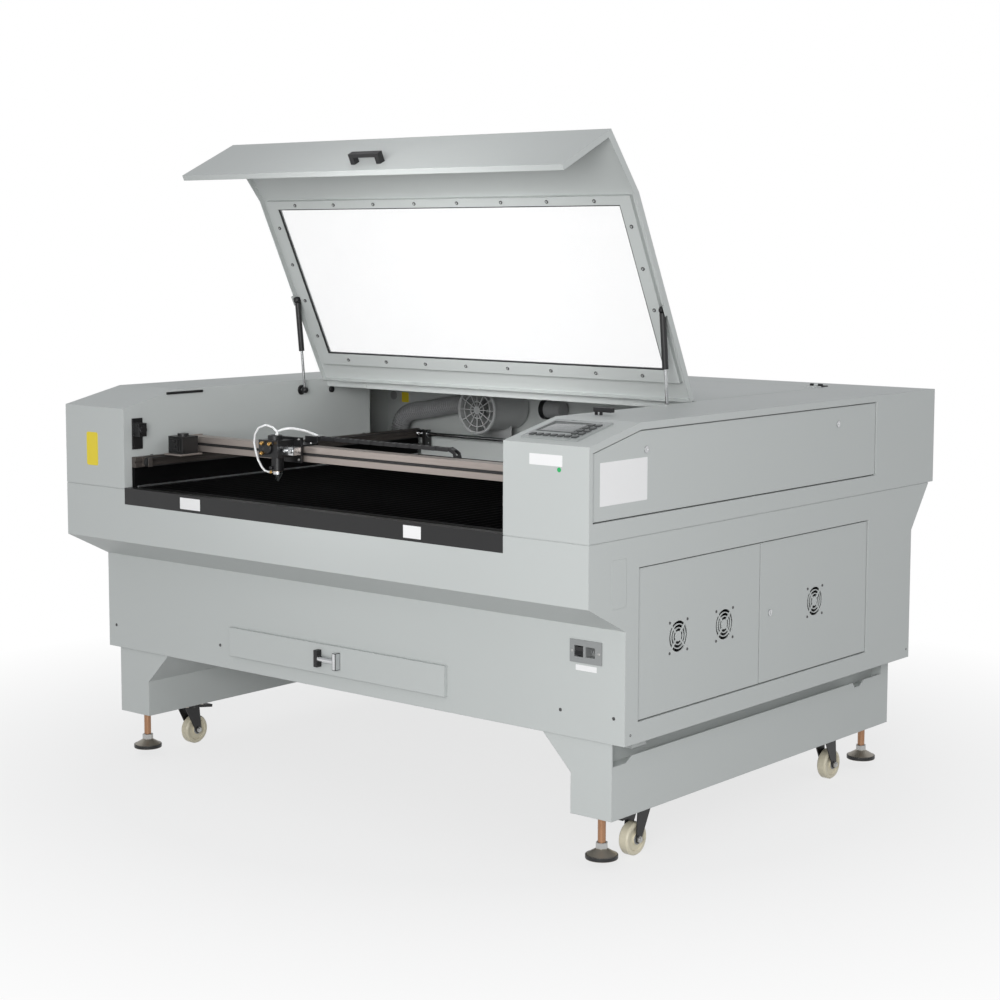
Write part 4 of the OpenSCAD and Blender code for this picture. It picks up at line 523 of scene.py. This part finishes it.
def smooth_path(points, per_span=8):
    """Catmull-Rom curve through the points."""
    pts = [Vector(p) for p in points]
    pts = [2 * pts[0] - pts[1]] + pts + [2 * pts[-1] - pts[-2]]
    curve = []
    for i in range(1, len(pts) - 2):
        a, b, c, d = pts[i - 1:i + 3]
        for k in range(per_span):
            t = k / per_span
            curve.append(0.5 * ((2 * b) + (c - a) * t + (2 * a - 5 * b + 4 * c - d) * t * t
                                + (3 * b - a - 3 * c + d) * t ** 3))
    curve.append(pts[-2])
    return curve


def even_path(points, step):
    """The same line with points at even distances, about a step apart."""
    spans = [(b - a).length for a, b in zip(points, points[1:])]
    count = max(1, round(sum(spans) / step))
    even, i, done = [points[0]], 0, 0.0
    for k in range(1, count):
        goal = sum(spans) * k / count
        while done + spans[i] < goal:
            done += spans[i]
            i += 1
        even.append(points[i].lerp(points[i + 1], (goal - done) / spans[i]))
    return even + [points[-1]]


def add_screw(bm, centre, axis, radius, proud=0.0012, recess=True):
    """Pan-head screw, with a shallow round recess in its head when recess is true."""
    place = Matrix.Translation(centre) @ turn_to(axis)
    inner = radius * 0.42
    profile = [(radius, 0), (radius, proud * 0.35), (radius * 0.82, proud * 0.85), (inner * 1.15, proud)]
    profile += [(inner, proud), (inner * 0.8, proud * 0.2), (0, proud * 0.2)] if recess else [(0, proud)]
    add_turned(bm, profile, place, 20)


def add_plate(bm, origin, across, up, width, height, thick, corner=0.0, steps=5):
    """Thin plate with round corners. origin is its lower left corner; across and up are unit vectors."""
    across, up = Vector(across), Vector(up)
    out = across.cross(up)
    outline = []
    corner = max(corner, 1e-5)
    for cx, cy, start in ((width - corner, corner, -90), (width - corner, height - corner, 0),
                          (corner, height - corner, 90), (corner, corner, 180)):
        for k in range(steps + 1):
            a = math.radians(start + 90 * k / steps)
            outline.append((cx + corner * math.cos(a), cy + corner * math.sin(a)))
    base = [bm.verts.new(Vector(origin) + across * u + up * v) for u, v in outline]
    lid = [bm.verts.new(Vector(origin) + across * u + up * v + out * thick) for u, v in outline]
    bm.faces.new(list(reversed(base)))
    bm.faces.new(lid)
    for k in range(len(base)):
        n = (k + 1) % len(base)
        bm.faces.new((base[k], base[n], lid[n], lid[k]))


def paint_since(bm, first, index):
    """Gives the faces made after the first ones another of the piece's finishes."""
    bm.faces.ensure_lookup_table()
    for face in bm.faces[first:]:
        face.material_index = index


def finish_piece(name, bm, finish, body, smooth_angle=32):
    """Turns the mesh into a piece with its finishes, riding on its body."""
    bmesh.ops.recalc_face_normals(bm, faces=bm.faces)
    mesh = bpy.data.meshes.new(name)
    bm.to_mesh(mesh)
    bm.free()
    piece = bpy.data.objects.new(name, mesh)
    bpy.context.scene.collection.objects.link(piece)
    for each in finish.split():
        mesh.materials.append(FINISH[each])
    mesh.shade_smooth()
    mesh.set_sharp_from_angle(angle=math.radians(smooth_angle))
    if body:
        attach(piece, body)
    return piece


# ---------------------------------------------------------------- operators

class MACHINE_OT_finishes(bpy.types.Operator):
    """Gives every solid of the machine its finish"""
    bl_idname = "machine.finishes"
    bl_label = "Finishes"

    def execute(self, context):
        FINISH.update(build_finishes(context.scene.machine_finish))
        for finish, names in NODE_FINISH.items():
            for name in names:
                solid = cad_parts[name]
                solid.data.materials.clear()
                solid.data.materials.append(FINISH[finish])
        return {"FINISHED"}


class MACHINE_OT_labels(bpy.types.Operator):
    """Makes the blank labels, tags and the status dot"""
    bl_idname = "machine.labels"
    bl_label = "Labels"

    def execute(self, context):
        thick = 0.0003
        bm = bmesh.new()
        add_plate(bm, (-0.812, FRONT, 0.837), X, Z, 0.047, 0.090, thick, 0.006)
        finish_piece("yellow_field_left", bm, "yellow", "machine")
        bm = bmesh.new()
        add_plate(bm, (0.733, FRONT, 0.949), X, Z, 0.093, 0.025, thick, 0.002)
        finish_piece("white_label_right", bm, "white", "machine")
        bm = bmesh.new()
        add_turned(bm, [(0.0055, -0.001), (0.0055, 0.0002), (0.004, 0.0004), (0, 0.0004)],
                   Matrix.Translation((0.817, FRONT, 0.942)) @ turn_to(-Y), 24)
        finish_piece("status_dot", bm, "green", "machine")
        bm = bmesh.new()
        for x0, x1 in ((-0.435, -0.358), (0.352, 0.408)):
            add_plate(bm, (x0, FRONT, 0.748), X, Z, x1 - x0, 0.030, thick, 0.001)
        finish_piece("apron_tags", bm, "white", "machine")
        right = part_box("side_panel")[1].x
        bm = bmesh.new()
        add_plate(bm, (right, FRONT + 0.043, 0.862), Y, Z, 0.177, 0.097, thick, 0.002)
        finish_piece("side_plate", bm, "white", "side_panel")
        bm = bmesh.new()
        add_plate(bm, (0.9, FRONT + 0.085, 0.627), Y, Z, 0.055, 0.111, thick, 0.003)
        for y in (0.091, 0.134):
            for z in (0.633, 0.732):
                add_screw(bm, (0.9002, FRONT + y, z), X, 0.0024, 0.0003)
        finish_piece("cover_plate", bm, "powder", "machine")
        return {"FINISHED"}


class MACHINE_OT_lid_fittings(bpy.types.Operator):
    """Makes the lid's dark screws, the seal round its pane and the strut sockets"""
    bl_idname = "machine.lid_fittings"
    bl_label = "Lid fittings"

    hinge = at(0, 765, 1041)
    open_angle = 64.5

    def open_up(self, bm):
        """Turns what was made on the closed lid to where the open lid carries it."""
        turn = Matrix.Rotation(math.radians(-self.open_angle), 4, "X")
        place = Matrix.Translation(self.hinge) @ turn @ Matrix.Translation(-self.hinge)
        bmesh.ops.transform(bm, matrix=place, verts=bm.verts)

    def execute(self, context):
        bm = bmesh.new()
        spots = [((k + 0.5) * 149 - 596, y) for k in range(8) for y in (205, 691)]
        spots += [(x, 217 + (k + 0.5) * 114) for k in range(4) for x in (-614, 614)]
        for x, y in spots:
            add_turned(bm, [(0.0, 0.0), (0.0049, 0.0), (0.0049, 0.0026), (0.0038, 0.0036), (0.0026, 0.0038),
                            (0.0026, 0.0012), (0, 0.0012)],
                       Matrix.Translation(at(x, y, 1026.6)) @ turn_to(-Z), 20)
        self.open_up(bm)
        finish_piece("retainer_screws", bm, "dark_screw", "lid")
        bm = bmesh.new()
        for low, high in (((-596, 217, 1027), (596, 220, 1031.6)), ((-596, 670, 1027), (596, 673, 1031.6)),
                          ((-596, 220, 1027), (-593, 670, 1031.6)), ((593, 220, 1027), (596, 670, 1031.6))):
            mm_box(bm, low, high, 0.8)
        self.open_up(bm)
        finish_piece("pane_seal", bm, "plastic", "lid")
        foot, head = at(641.5, 661, 1012), at(641.5, 633.8, 1273.1)
        for side, sign in (("left", -1), ("right", 1)):
            flip = Matrix.Scale(sign, 4, X)
            for name, centre, body in (("foot", foot, "strut_rod_"), ("head", head, "strut_cylinder_")):
                bm = bmesh.new()
                place = flip @ Matrix.Translation(centre) @ turn_to(X)
                add_turned(bm, [(0, -0.0075), (0.0062, -0.0075), (0.0088, -0.0048), (0.0092, 0),
                                (0.0092, 0.0058), (0, 0.0058)], place, 28)
                finish_piece(f"strut_socket_{name}_{side}", bm, "plastic", body + side)
            bm = bmesh.new()
            add_turned(bm, [(0, 0.0121), (0.0135, 0.0121), (0.0145, 0.0131), (0.0145, 0.0152), (0, 0.0152)],
                       flip @ Matrix.Translation(foot) @ turn_to(X), 32)
            add_turned(bm, [(0, 0.009), (0.008, 0.009), (0.0095, 0.0105), (0.0095, 0.0152), (0, 0.0152)],
                       flip @ Matrix.Translation(at(641.5, 784, 1007)) @ turn_to(X), 28)
            finish_piece(f"strut_bracket_{side}", bm, "black", "machine")
        return {"FINISHED"}


class MACHINE_OT_controls(bpy.types.Operator):
    """Makes the keys and display, the lid switch and the marks of the mains switch"""
    bl_idname = "machine.controls"
    bl_label = "Controls"

    def execute(self, context):
        place = Matrix.Translation(at(765, 95, 1018)) @ Matrix.Rotation(math.atan2(42, 190), 4, "X")
        place @= Matrix.Scale(MM, 4) @ Matrix.Translation((-80, -67.5, 0))
        spots = [(14 + i * 20, 12) for i in range(7)]
        spots += [(116 + i * 19, 14 + j * 21) for j in range(1, 5) for i in (0, 1)]
        bm = bmesh.new()
        for x, y in spots:
            add_box(bm, (x - 0.4, y - 0.4, 3.2), (x + 13.4, y + 13.4, 6.6), 1.1)
        bmesh.ops.transform(bm, matrix=place, verts=bm.verts)
        finish_piece("keys", bm, "key", "machine")
        bm = bmesh.new()
        add_box(bm, (12.1, 48.1, 3.02), (107.9, 113.9, 3.6), 0.3)
        bmesh.ops.transform(bm, matrix=place, verts=bm.verts)
        finish_piece("display", bm, "screen", "machine")
        bm = bmesh.new()
        for low, high in (((8, 44, 4.0), (112, 48, 4.9)), ((8, 114, 4.0), (112, 118, 4.9)),
                          ((8, 48, 4.0), (12, 114, 4.9)), ((108, 48, 4.0), (112, 114, 4.9))):
            add_box(bm, low, high, 0.3)
        bmesh.ops.transform(bm, matrix=place, verts=bm.verts)
        finish_piece("display_frame", bm, "key", "machine")
        bm = bmesh.new()
        mm_box(bm, (700, 276, 1046), (752, 290, 1057), 1.6)
        for x in (702, 716):
            mm_box(bm, (x, 279, 1038.6), (x + 4, 287, 1048), 0.6)
        finish_piece("lid_switch", bm, "plastic", "machine")
        bm = bmesh.new()
        mm_box(bm, (-657, 150, 1026), (-653.6, 280, 1033), 0.8)
        finish_piece("lid_stop", bm, "black", "machine")
        bm = bmesh.new()
        for x in (751.5, 828.5):
            add_screw(bm, at(x, 134.9, 511), -Y, 0.0034)
        finish_piece("mains_screws", bm, "screw", "machine")
        bm = bmesh.new()
        add_plate(bm, at(760, 138, 466), X, Z, 0.060, 0.013, 0.0004, 0.001)
        finish_piece("mains_tag", bm, "white", "machine")
        return {"FINISHED"}


class MACHINE_OT_motion_fittings(bpy.types.Operator):
    """Makes the fittings of the bed, the rails, the beam and the laser head"""
    bl_idname = "machine.motion_fittings"
    bl_label = "Motion fittings"

    def execute(self, context):
        bm = bmesh.new()
        mm_box(bm, (-647, 33, 784.6), (-640, 1150, 789), 0.6)
        finish_piece("bed_edge_strip", bm, "strip", "machine")
        bm = bmesh.new()
        for x in (-650, 650):
            for k in range(7):
                add_screw(bm, at(x, 90 + k * 165, 866), Z, 0.0045, 0.003)
        finish_piece("rail_screws", bm, "dark_screw", "machine")
        bm = bmesh.new()
        for sign in (-1, 1):
            flip = Matrix.Scale(sign, 4, X)
            add_turned(bm, [(0.0082, 0), (0.0082, -0.003), (0.0105, -0.0036), (0.0112, -0.003), (0.0112, 0)],
                       flip @ Matrix.Translation(at(595, 1144, 852)) @ turn_to(X), 32)
            for z in (824, 861):
                add_screw(bm, flip @ at(595, 1144, z), -X * sign, 0.0024, 0.0016)
        finish_piece("shaft_bearings", bm, "steel", "machine")
        bm = bmesh.new()
        for sign in (-1, 1):
            low, high = sorted((sign * 640.6, sign * 656.6))
            mm_box(bm, (low, 1154, 837.6), (high, 1157, 866.4), 0.8)
        finish_piece("rail_end_caps", bm, "plastic", "machine")
        bm = bmesh.new()
        mm_box(bm, (-606, 206, 888.8), (612, 207.4, 895.2), 0.2)
        for k in range(240):
            x = -604 + k * 5
            mm_box(bm, (x, 207.2, 889.2), (x + 2.2, 208.4, 894.8))
        finish_piece("cross_belt", bm, "belt", "gantry")
        bm = bmesh.new()
        for x in (-614, 618):
            add_turned(bm, [(0, 0), (0.0062, 0), (0.0062, 0.0012), (0.0046, 0.0016), (0.0046, 0.0088),
                            (0.0062, 0.0092),
                            (0.0062, 0.0104), (0.003, 0.0104), (0.003, 0.0128), (0, 0.0128)],
                       Matrix.Translation(at(x, 202.6, 885.6)) @ turn_to(Z), 28)
        finish_piece("cross_belt_rollers", bm, "steel", "gantry")
        bm = bmesh.new()
        for x in (-262, -188):
            for z in (878, 931):
                add_screw(bm, at(x, 190, z), -Y, 0.0036, 0.0026)
        for x in (-261, -190):
            for y in (204, 236):
                add_screw(bm, at(x, y, 917), Z, 0.0032, 0.0024)
        finish_piece("carriage_screws", bm, "screw", "carriage")
        bm = bmesh.new()
        for angle in (45, 135, 225):
            a = math.radians(angle)
            spot = at(-240 + 20 * math.cos(a), 125.6, 909 + 18 * math.sin(a))
            add_turned(bm, [(0, 0), (0.0052, 0), (0.0052, 0.006), (0.0045, 0.0074), (0.0024, 0.0078),
                            (0.0024, 0.0105),
                            (0.0016, 0.0113), (0, 0.0113)], Matrix.Translation(spot) @ turn_to(-Y), 18)
        finish_piece("mirror_knobs", bm, "brass", "carriage")
        bm = bmesh.new()
        add_turned(bm, [(0.0154, -0.006), (0.0154, 0.0004), (0.0138, 0.0016), (0.0118, 0.0016),
                        (0.0108, 0.0004), (0, 0.0004)],
                   Matrix.Translation(at(-240, 125, 909)) @ turn_to(-Y), 36)
        add_turned(bm, [(0.0192, -0.0095), (0.0192, 0.0002), (0.0172, 0.002), (0.0120, 0.002), (0.0108, 0),
                        (0, 0)],
                   Matrix.Translation(at(-240, 156, 940)), 36)
        finish_piece("mirror_covers", bm, "anodised", "carriage")
        bm = bmesh.new()
        mm_box(bm, (-205.2, 149.4, 892.4), (-166.4, 176.6, 915.6), 1.2)
        first = len(bm.faces)
        for x in (-196, -175):
            add_turned(bm, [(0, 0), (0.0056, 0), (0.0056, 0.005), (0.0046, 0.0064), (0.0022, 0.0068),
                            (0.0022, 0.009),
                            (0, 0.0094)], Matrix.Translation(at(x, 149.6, 904)) @ turn_to(-Y), 20)
        paint_since(bm, first, 1)
        finish_piece("beam_pointer", bm, "anodised steel", "carriage")
        bm = bmesh.new()
        route = ((-238, 157, 941), (-233, 163, 952), (-216, 186, 958), (-200, 220, 951), (-192, 246, 941),
                 (-188, 258, 936))
        add_tube(bm, smooth_path([at(*spot) for spot in route], 8), 0.0036, 14)
        finish_piece("hose_run", bm, "tube", "carriage")
        bm = bmesh.new()
        add_turned(bm, [(0.0112, 0), (0.0136, 0.0006), (0.0136, 0.0052), (0.0112, 0.0058)],
                   Matrix.Translation(at(-230, 154, 848.4)), 32)
        add_turned(bm, [(0.0032, 0), (0.0048, 0), (0.0048, 0.007), (0.0032, 0.009)],
                   Matrix.Translation(at(-249, 154, 844)) @ turn_to(-X), 6)
        finish_piece("nozzle_rings", bm, "brass", "lens_tube")
        return {"FINISHED"}


class MACHINE_OT_cable_chain(bpy.types.Operator):
    """Makes the links of the cable chain behind the beam"""
    bl_idname = "machine.cable_chain"
    bl_label = "Cable chain"

    right, low, radius, run, length = 268.0, 877.3, 26.0, 462.0, 704.0

    def spot(self, way):
        """Centre of the chain at a distance along it, with its outward and forward directions."""
        turn = min(max((way - self.run) / self.radius, 0.0), math.pi)
        out = Vector((math.sin(turn), 0, math.cos(turn)))
        ahead = Vector((math.cos(turn), 0, -math.sin(turn)))
        shift = way - self.run if way < self.run else min(0.0, self.run + math.pi * self.radius - way)
        centre = at(self.right + shift, 263, self.low + self.radius) + out * self.radius * MM
        return centre, out, ahead

    def execute(self, context):
        count = context.scene.machine_trim.link_count
        pitch = self.length / count
        bm = bmesh.new()
        for k in range(count):
            centre, out, ahead = self.spot((k + 0.5) * pitch)
            half = (pitch / 2 + 3.2) * MM
            outer = 0.0099 - (k % 2) * 0.0018
            for front in (-outer + 0.0016, outer):
                start = centre - ahead * half - out * 0.0048 + Y * front
                add_plate(bm, start, ahead, out, 2 * half, 0.0096, 0.0016, 0.0046, 4)
            for lift in (-0.0046, 0.0036):
                start = centre - ahead * 0.0052 + out * lift + Y * (outer - 0.001)
                add_plate(bm, start, ahead, out, 0.0104, 0.0011, 2 * outer - 0.002)
        chain = finish_piece("chain_links", bm, "plastic", "gantry")
        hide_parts("cable_chain")
        bm = bmesh.new()
        mm_box(bm, (-194, 252.6, 934.4), (-176, 273, 936.4), 0.5)
        finish_piece("chain_bracket", bm, "screw", "carriage")
        return {"FINISHED"}


class MACHINE_OT_fume_parts(bpy.types.Operator):
    """Makes the ringed fume hose, its clamp, the inlet ring, the pipe coupling and the rear fittings"""
    bl_idname = "machine.fume_parts"
    bl_label = "Fume parts"

    inlet_x, inlet_y, inlet_z = -370, 1110, 940
    hose_y, back_wall = 1235, 1287

    def execute(self, context):
        pitch = context.scene.machine_trim.hose_pitch
        route = ((-452, 940), (-500, 941), (-560, 939), (-620, 929), (-680, 917), (-735, 910), (-775, 893),
                 (-795, 860), (-798, 820), (-797, 783.2))
        line = smooth_path([at(x, self.hose_y, z) for x, z in route], 12)
        points = even_path(line, pitch / 4)
        radii = [(0.0248, 0.0280, 0.0280, 0.0248)[k % 4] for k in range(len(points))]
        bm = bmesh.new()
        add_tube(bm, points, radii, 32)
        hose = finish_piece("fume_hose", bm, "hose", "machine", 50)
        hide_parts("exhaust_hose")
        bm = bmesh.new()
        add_turned(bm, [(0.0300, 0), (0.0312, 0.0006), (0.0312, 0.0094), (0.0300, 0.010)],
                   Matrix.Translation(at(-442, self.hose_y, self.inlet_z)) @ turn_to(-X), 40)
        mm_box(bm, (-452, 1229, 970), (-443, 1241, 976), 1.0)
        finish_piece("hose_clamp", bm, "steel", "machine")
        bm = bmesh.new()
        profile = [(0.067, 0.004), (0.0675, -0.001), (0.0695, -0.0036), (0.0715, -0.0028), (0.0735, 0.0004),
                   (0.0738, 0.005), (0.067, 0.006)]
        place = Matrix.Translation(at(self.inlet_x, self.inlet_y, self.inlet_z)) @ turn_to(Y)
        add_turned(bm, profile, place, 64)
        finish_piece("inlet_ring", bm, "duct", "machine")
        bm = bmesh.new()
        axis = Matrix.Translation(at(-222, 1250, 943)) @ turn_to(X)
        add_turned(bm, [(0, 0.004), (0.021, 0.004), (0.023, 0), (0.030, 0), (0.031, 0.002), (0.031, 0.012),
                        (0.0285, 0.014), (0, 0.014)], axis, 40)
        mm_box(bm, (-216, 1276, 925), (-204, self.back_wall, 961), 1.0)
        first = len(bm.faces)
        add_turned(bm, [(0, 0.012), (0.0255, 0.012), (0.0255, 0.070), (0.0235, 0.072), (0, 0.072)], axis, 40)
        paint_since(bm, first, 1)
        finish_piece("pipe_coupling", bm, "plastic hose", "machine")
        bm = bmesh.new()
        add_plate(bm, at(-836, self.back_wall, 930), X, Z, 0.030, 0.032, 0.0004, 0.003)
        finish_piece("yellow_field_rear", bm, "yellow", "machine")
        bm = bmesh.new()
        add_turned(bm, [(0.014, 0), (0.014, 0.0016), (0.011, 0.003), (0, 0.003)],
                   Matrix.Translation(at(-870, self.back_wall, 950)) @ turn_to(-Y), 28)
        finish_piece("rear_plug", bm, "hose", "machine")
        return {"FINISHED"}


class MACHINE_OT_outside_fittings(bpy.types.Operator):
    """Makes the screws, the drawer pull, the fittings of the feet and of the casters"""
    bl_idname = "machine.outside_fittings"
    bl_label = "Outside fittings"

    fan_height, fan_hole = 529.5, 35.75

    def feet(self):
        spots = [(x, y) for x in (-FOOT_X, FOOT_X) for y in (187, 1379)]
        bm = bmesh.new()
        for x, y in spots:
            add_turned(bm, [(0, 0), (0.0372, 0), (0.0386, 0.0014), (0.0386, 0.0092), (0.0372, 0.0106),
                            (0.034, 0.0106)],
                       Matrix.Translation(at(x, y, 19.9)), 40)
        finish_piece("foot_rubbers", bm, "plastic", "machine")
        bm = bmesh.new()
        for x, y in spots:
            add_turned(bm, [(0.0092, 0), (0.0140, 0), (0.0150, 0.001), (0.0150, 0.0132), (0.0138, 0.0144),
                            (0.0092, 0.0144)],
                       Matrix.Translation(at(x, y, 44)), 6)
        finish_piece("foot_nuts", bm, "screw", "machine", 20)
        bm = bmesh.new()
        for x, y in spots:
            thread = [(0.0090 + 0.0007 * (k % 2), k * 0.00125) for k in range(53)]
            add_turned(bm, thread, Matrix.Translation(at(x, y, 58)), 24)
        finish_piece("foot_threads", bm, "copper", "machine", 60)

    def casters(self):
        for row, y in (("front", 334), ("rear", 1179)):
            for side, x in (("left", -FOOT_X), ("right", FOOT_X)):
                trail = -CASTER_TRAIL if (row, side) == ("front", "right") else CASTER_TRAIL
                bm = bmesh.new()
                for sign in (-1, 1):
                    spot = at(x + sign * 19, y + trail, AXLE_HEIGHT)
                    add_turned(bm, [(0, 0), (0.0086, 0), (0.0086, 0.004), (0.0074, 0.005), (0.0056, 0.005),
                                    (0.0056, 0.0072),
                                    (0, 0.0078)], Matrix.Translation(spot) @ turn_to(X * sign), 6)
                finish_piece(f"axle_nuts_{row}_{side}", bm, "screw", f"caster_fork_{row}_{side}", 20)
                bm = bmesh.new()
                for sign in (-1, 1):
                    spot = at(x + sign * 9.4, y + trail, AXLE_HEIGHT)
                    add_turned(bm, [(0.0056, 0.0046), (0.0132, 0.0046), (0.0132, 0.0052), (0.0104, 0.0056),
                                    (0.0056, 0.0056)],
                               Matrix.Translation(spot) @ turn_to(X * sign), 32)
                finish_piece(f"wheel_hub_{row}_{side}", bm, "hose", f"caster_wheel_{row}_{side}")

    def pull(self):
        bm = bmesh.new()
        for x in (-59, 7):
            mm_box(bm, (x, 108, 364), (x + 12, 126, 408), 1.6)
        first = len(bm.faces)
        add_turned(bm, [(0, 0), (0.0068, 0), (0.008, 0.0012), (0.008, 0.0688), (0.0068, 0.07), (0, 0.07)],
                   Matrix.Translation(at(-55, 117, 386)) @ turn_to(X), 32)
        paint_since(bm, first, 1)
        handle = finish_piece("drawer_pull", bm, "plastic chrome", "drawer")
        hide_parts("drawer_handle")

    def screws(self):
        bm = bmesh.new()
        for x, z in ((716, 366), (869, 368), (-869, 368), (-440, 366)):
            add_screw(bm, at(x, 138, z), -Y, 0.0042, 0.0016)
        for y in (160, 1440):
            add_screw(bm, at(899.8, y, 330), X, 0.0036, 0.0004)
        finish_piece("cabinet_screws", bm, "dark_screw", "machine")
        for name, body, places in (("front", "door_front", (350, 542)), ("rear", "door_rear", (957,))):
            bm = bmesh.new()
            for y in places:
                for dy in (-self.fan_hole, self.fan_hole):
                    for dz in (-self.fan_hole, self.fan_hole):
                        add_screw(bm, at(897, y + dy, self.fan_height + dz), X, 0.0036, 0.0014)
            finish_piece(f"fan_screws_{name}", bm, "dark_screw", body)

    def execute(self, context):
        self.feet()
        self.casters()
        self.pull()
        self.screws()
        return {"FINISHED"}


class MACHINE_OT_stage(bpy.types.Operator):
    """Makes the floor, the lights and the camera"""
    bl_idname = "machine.stage"
    bl_label = "Stage"

    camera_place = (3.522, -4.2305, 1.435)
    camera_tilt, camera_roll, camera_heading = 90 - 5.932, -0.11, 39.848
    clear_floor, far_floor = 1.1, 2.3

    def execute(self, context):
        settings = context.scene.machine_stage
        half = settings.floor_size / 2
        bm = bmesh.new()
        places = ((-half, -half), (half, -half), (half, half), (-half, half))
        corners = [bm.verts.new((x, y, 0)) for x, y in places]
        bm.faces.new(corners)
        mesh = bpy.data.meshes.new("floor")
        bm.to_mesh(mesh)
        bm.free()
        floor = bpy.data.objects.new("floor", mesh)
        context.scene.collection.objects.link(floor)
        mesh.materials.append(self.floor_material())
        self.surroundings(context, settings)
        self.lamp(context, "key_light", (2.7, -4.5, 1.45), (0, 0, 0.85), 2.0, settings.key_power)
        self.lamp(context, "side_light", (5.2, -0.6, 2.6), (0, 0.1, 0.6), 3.0, settings.fill_power)
        self.lamp(context, "top_light", (0.4, 0.6, 5.0), (0, 0, 0.8), 3.6, settings.fill_power * 0.1)
        self.lamp(context, "bay_light", (0.3, -1.4, 1.5), (-0.2, 0.6, 1.02), 0.8, settings.bay_power, 60)
        camera = bpy.data.objects.new("camera", bpy.data.cameras.new("camera"))
        camera.data.lens = settings.lens
        camera.data.sensor_width = 36
        camera.data.shift_y = -0.0475
        camera.location = self.camera_place
        turns = (self.camera_tilt, self.camera_roll, self.camera_heading)
        camera.rotation_euler = [math.radians(angle) for angle in turns]
        context.scene.collection.objects.link(camera)
        context.scene.camera = camera
        context.scene.view_settings.view_transform = "Standard"
        return {"FINISHED"}

    def floor_material(self):
        made, tree, shader = start_material("floor_pale")
        grained = place_group(tree, "Fine Grain", Colour=(0.54, 0.54, 0.54, 1), Grain_Scale=40.0,
                              Shade_Scale=0.5, Shade_Spread=0.01)
        tree.links.new(grained.outputs["Colour"], shader.inputs["Base Color"])
        shader.inputs["Roughness"].default_value = 0.8
        shader.inputs["Specular IOR Level"].default_value = 0.2
        glow = add(tree, "ShaderNodeEmission")
        glow.inputs["Color"].default_value = (1, 1, 1, 1)
        path = add(tree, "ShaderNodeLightPath")
        blend = add(tree, "ShaderNodeMixShader")
        seen = math_node(tree, "MAXIMUM", path.outputs["Is Camera Ray"], path.outputs["Is Transmission Ray"])
        seen = math_node(tree, "MAXIMUM", seen, path.outputs["Is Glossy Ray"])
        reach = add(tree, "ShaderNodeVectorMath", operation="LENGTH")
        tree.links.new(add(tree, "ShaderNodeTexCoord").outputs["Object"], reach.inputs[0])
        far = ramp(tree, reach.outputs["Value"], self.clear_floor, self.far_floor)
        away = math_node(tree, "ADD", math_node(tree, "MULTIPLY", far, 0.25), 0.75)
        tree.links.new(math_node(tree, "MULTIPLY", seen, away), blend.inputs[0])
        tree.links.new(shader.outputs[0], blend.inputs[1])
        tree.links.new(glow.outputs[0], blend.inputs[2])
        tree.links.new(blend.outputs[0], tree.nodes["Material Output"].inputs["Surface"])
        return made

    def surroundings(self, context, settings):
        world = bpy.data.worlds.new("surroundings")
        context.scene.world = world
        world.use_nodes = True
        tree = world.node_tree
        even = tree.nodes["Background"]
        even.inputs["Color"].default_value = (0.97, 0.98, 1.0, 1)
        even.inputs["Strength"].default_value = settings.world_strength
        white = add(tree, "ShaderNodeBackground")
        white.inputs["Color"].default_value = (1, 1, 1, 1)
        white.inputs["Strength"].default_value = 1.0
        path = add(tree, "ShaderNodeLightPath")
        seen = math_node(tree, "MAXIMUM", path.outputs["Is Camera Ray"], path.outputs["Is Transmission Ray"])
        blend = add(tree, "ShaderNodeMixShader")
        tree.links.new(seen, blend.inputs[0])
        tree.links.new(even.outputs[0], blend.inputs[1])
        tree.links.new(white.outputs[0], blend.inputs[2])
        tree.links.new(blend.outputs[0], tree.nodes["World Output"].inputs["Surface"])

    def lamp(self, context, name, place, target, size, power, spread=180):
        data = bpy.data.lights.new(name, "AREA")
        data.shape = "DISK"
        data.size = size
        data.energy = power
        data.spread = math.radians(spread)
        lamp = bpy.data.objects.new(name, data)
        lamp.location = place
        lamp.rotation_euler = (Vector(target) - Vector(place)).to_track_quat("-Z", "Y").to_euler()
        context.scene.collection.objects.link(lamp)


class MACHINE_PT_panel(bpy.types.Panel):
    """Lists the machine's settings and the steps that build it"""
    bl_label = "Laser engraving machine"
    bl_space_type = "VIEW_3D"
    bl_region_type = "UI"
    bl_category = "Machine"

    def draw(self, context):
        column = self.layout.column()
        for holder in (context.scene.machine_finish, context.scene.machine_trim, context.scene.machine_stage):
            for key in holder.__annotations__:
                column.prop(holder, key)
        for operator in STEPS:
            column.operator(operator.bl_idname)


STEPS = [MACHINE_OT_finishes, MACHINE_OT_labels, MACHINE_OT_lid_fittings, MACHINE_OT_controls,
         MACHINE_OT_motion_fittings, MACHINE_OT_cable_chain, MACHINE_OT_fume_parts,
         MACHINE_OT_outside_fittings, MACHINE_OT_stage]
SETTINGS = {"machine_finish": FinishSettings, "machine_trim": TrimSettings, "machine_stage": StageSettings}


def register():
    for made in [*SETTINGS.values(), *STEPS, MACHINE_PT_panel]:
        bpy.utils.register_class(made)
    for name, kind in SETTINGS.items():
        setattr(bpy.types.Scene, name, PointerProperty(type=kind))


def unregister():
    for name in SETTINGS:
        delattr(bpy.types.Scene, name)
    for made in reversed([*SETTINGS.values(), *STEPS, MACHINE_PT_panel]):
        bpy.utils.unregister_class(made)


def main():
    register()
    for operator in STEPS:
        group, call = operator.bl_idname.split(".")
        getattr(getattr(bpy.ops, group), call)()


if __name__ == "__main__":
    main()
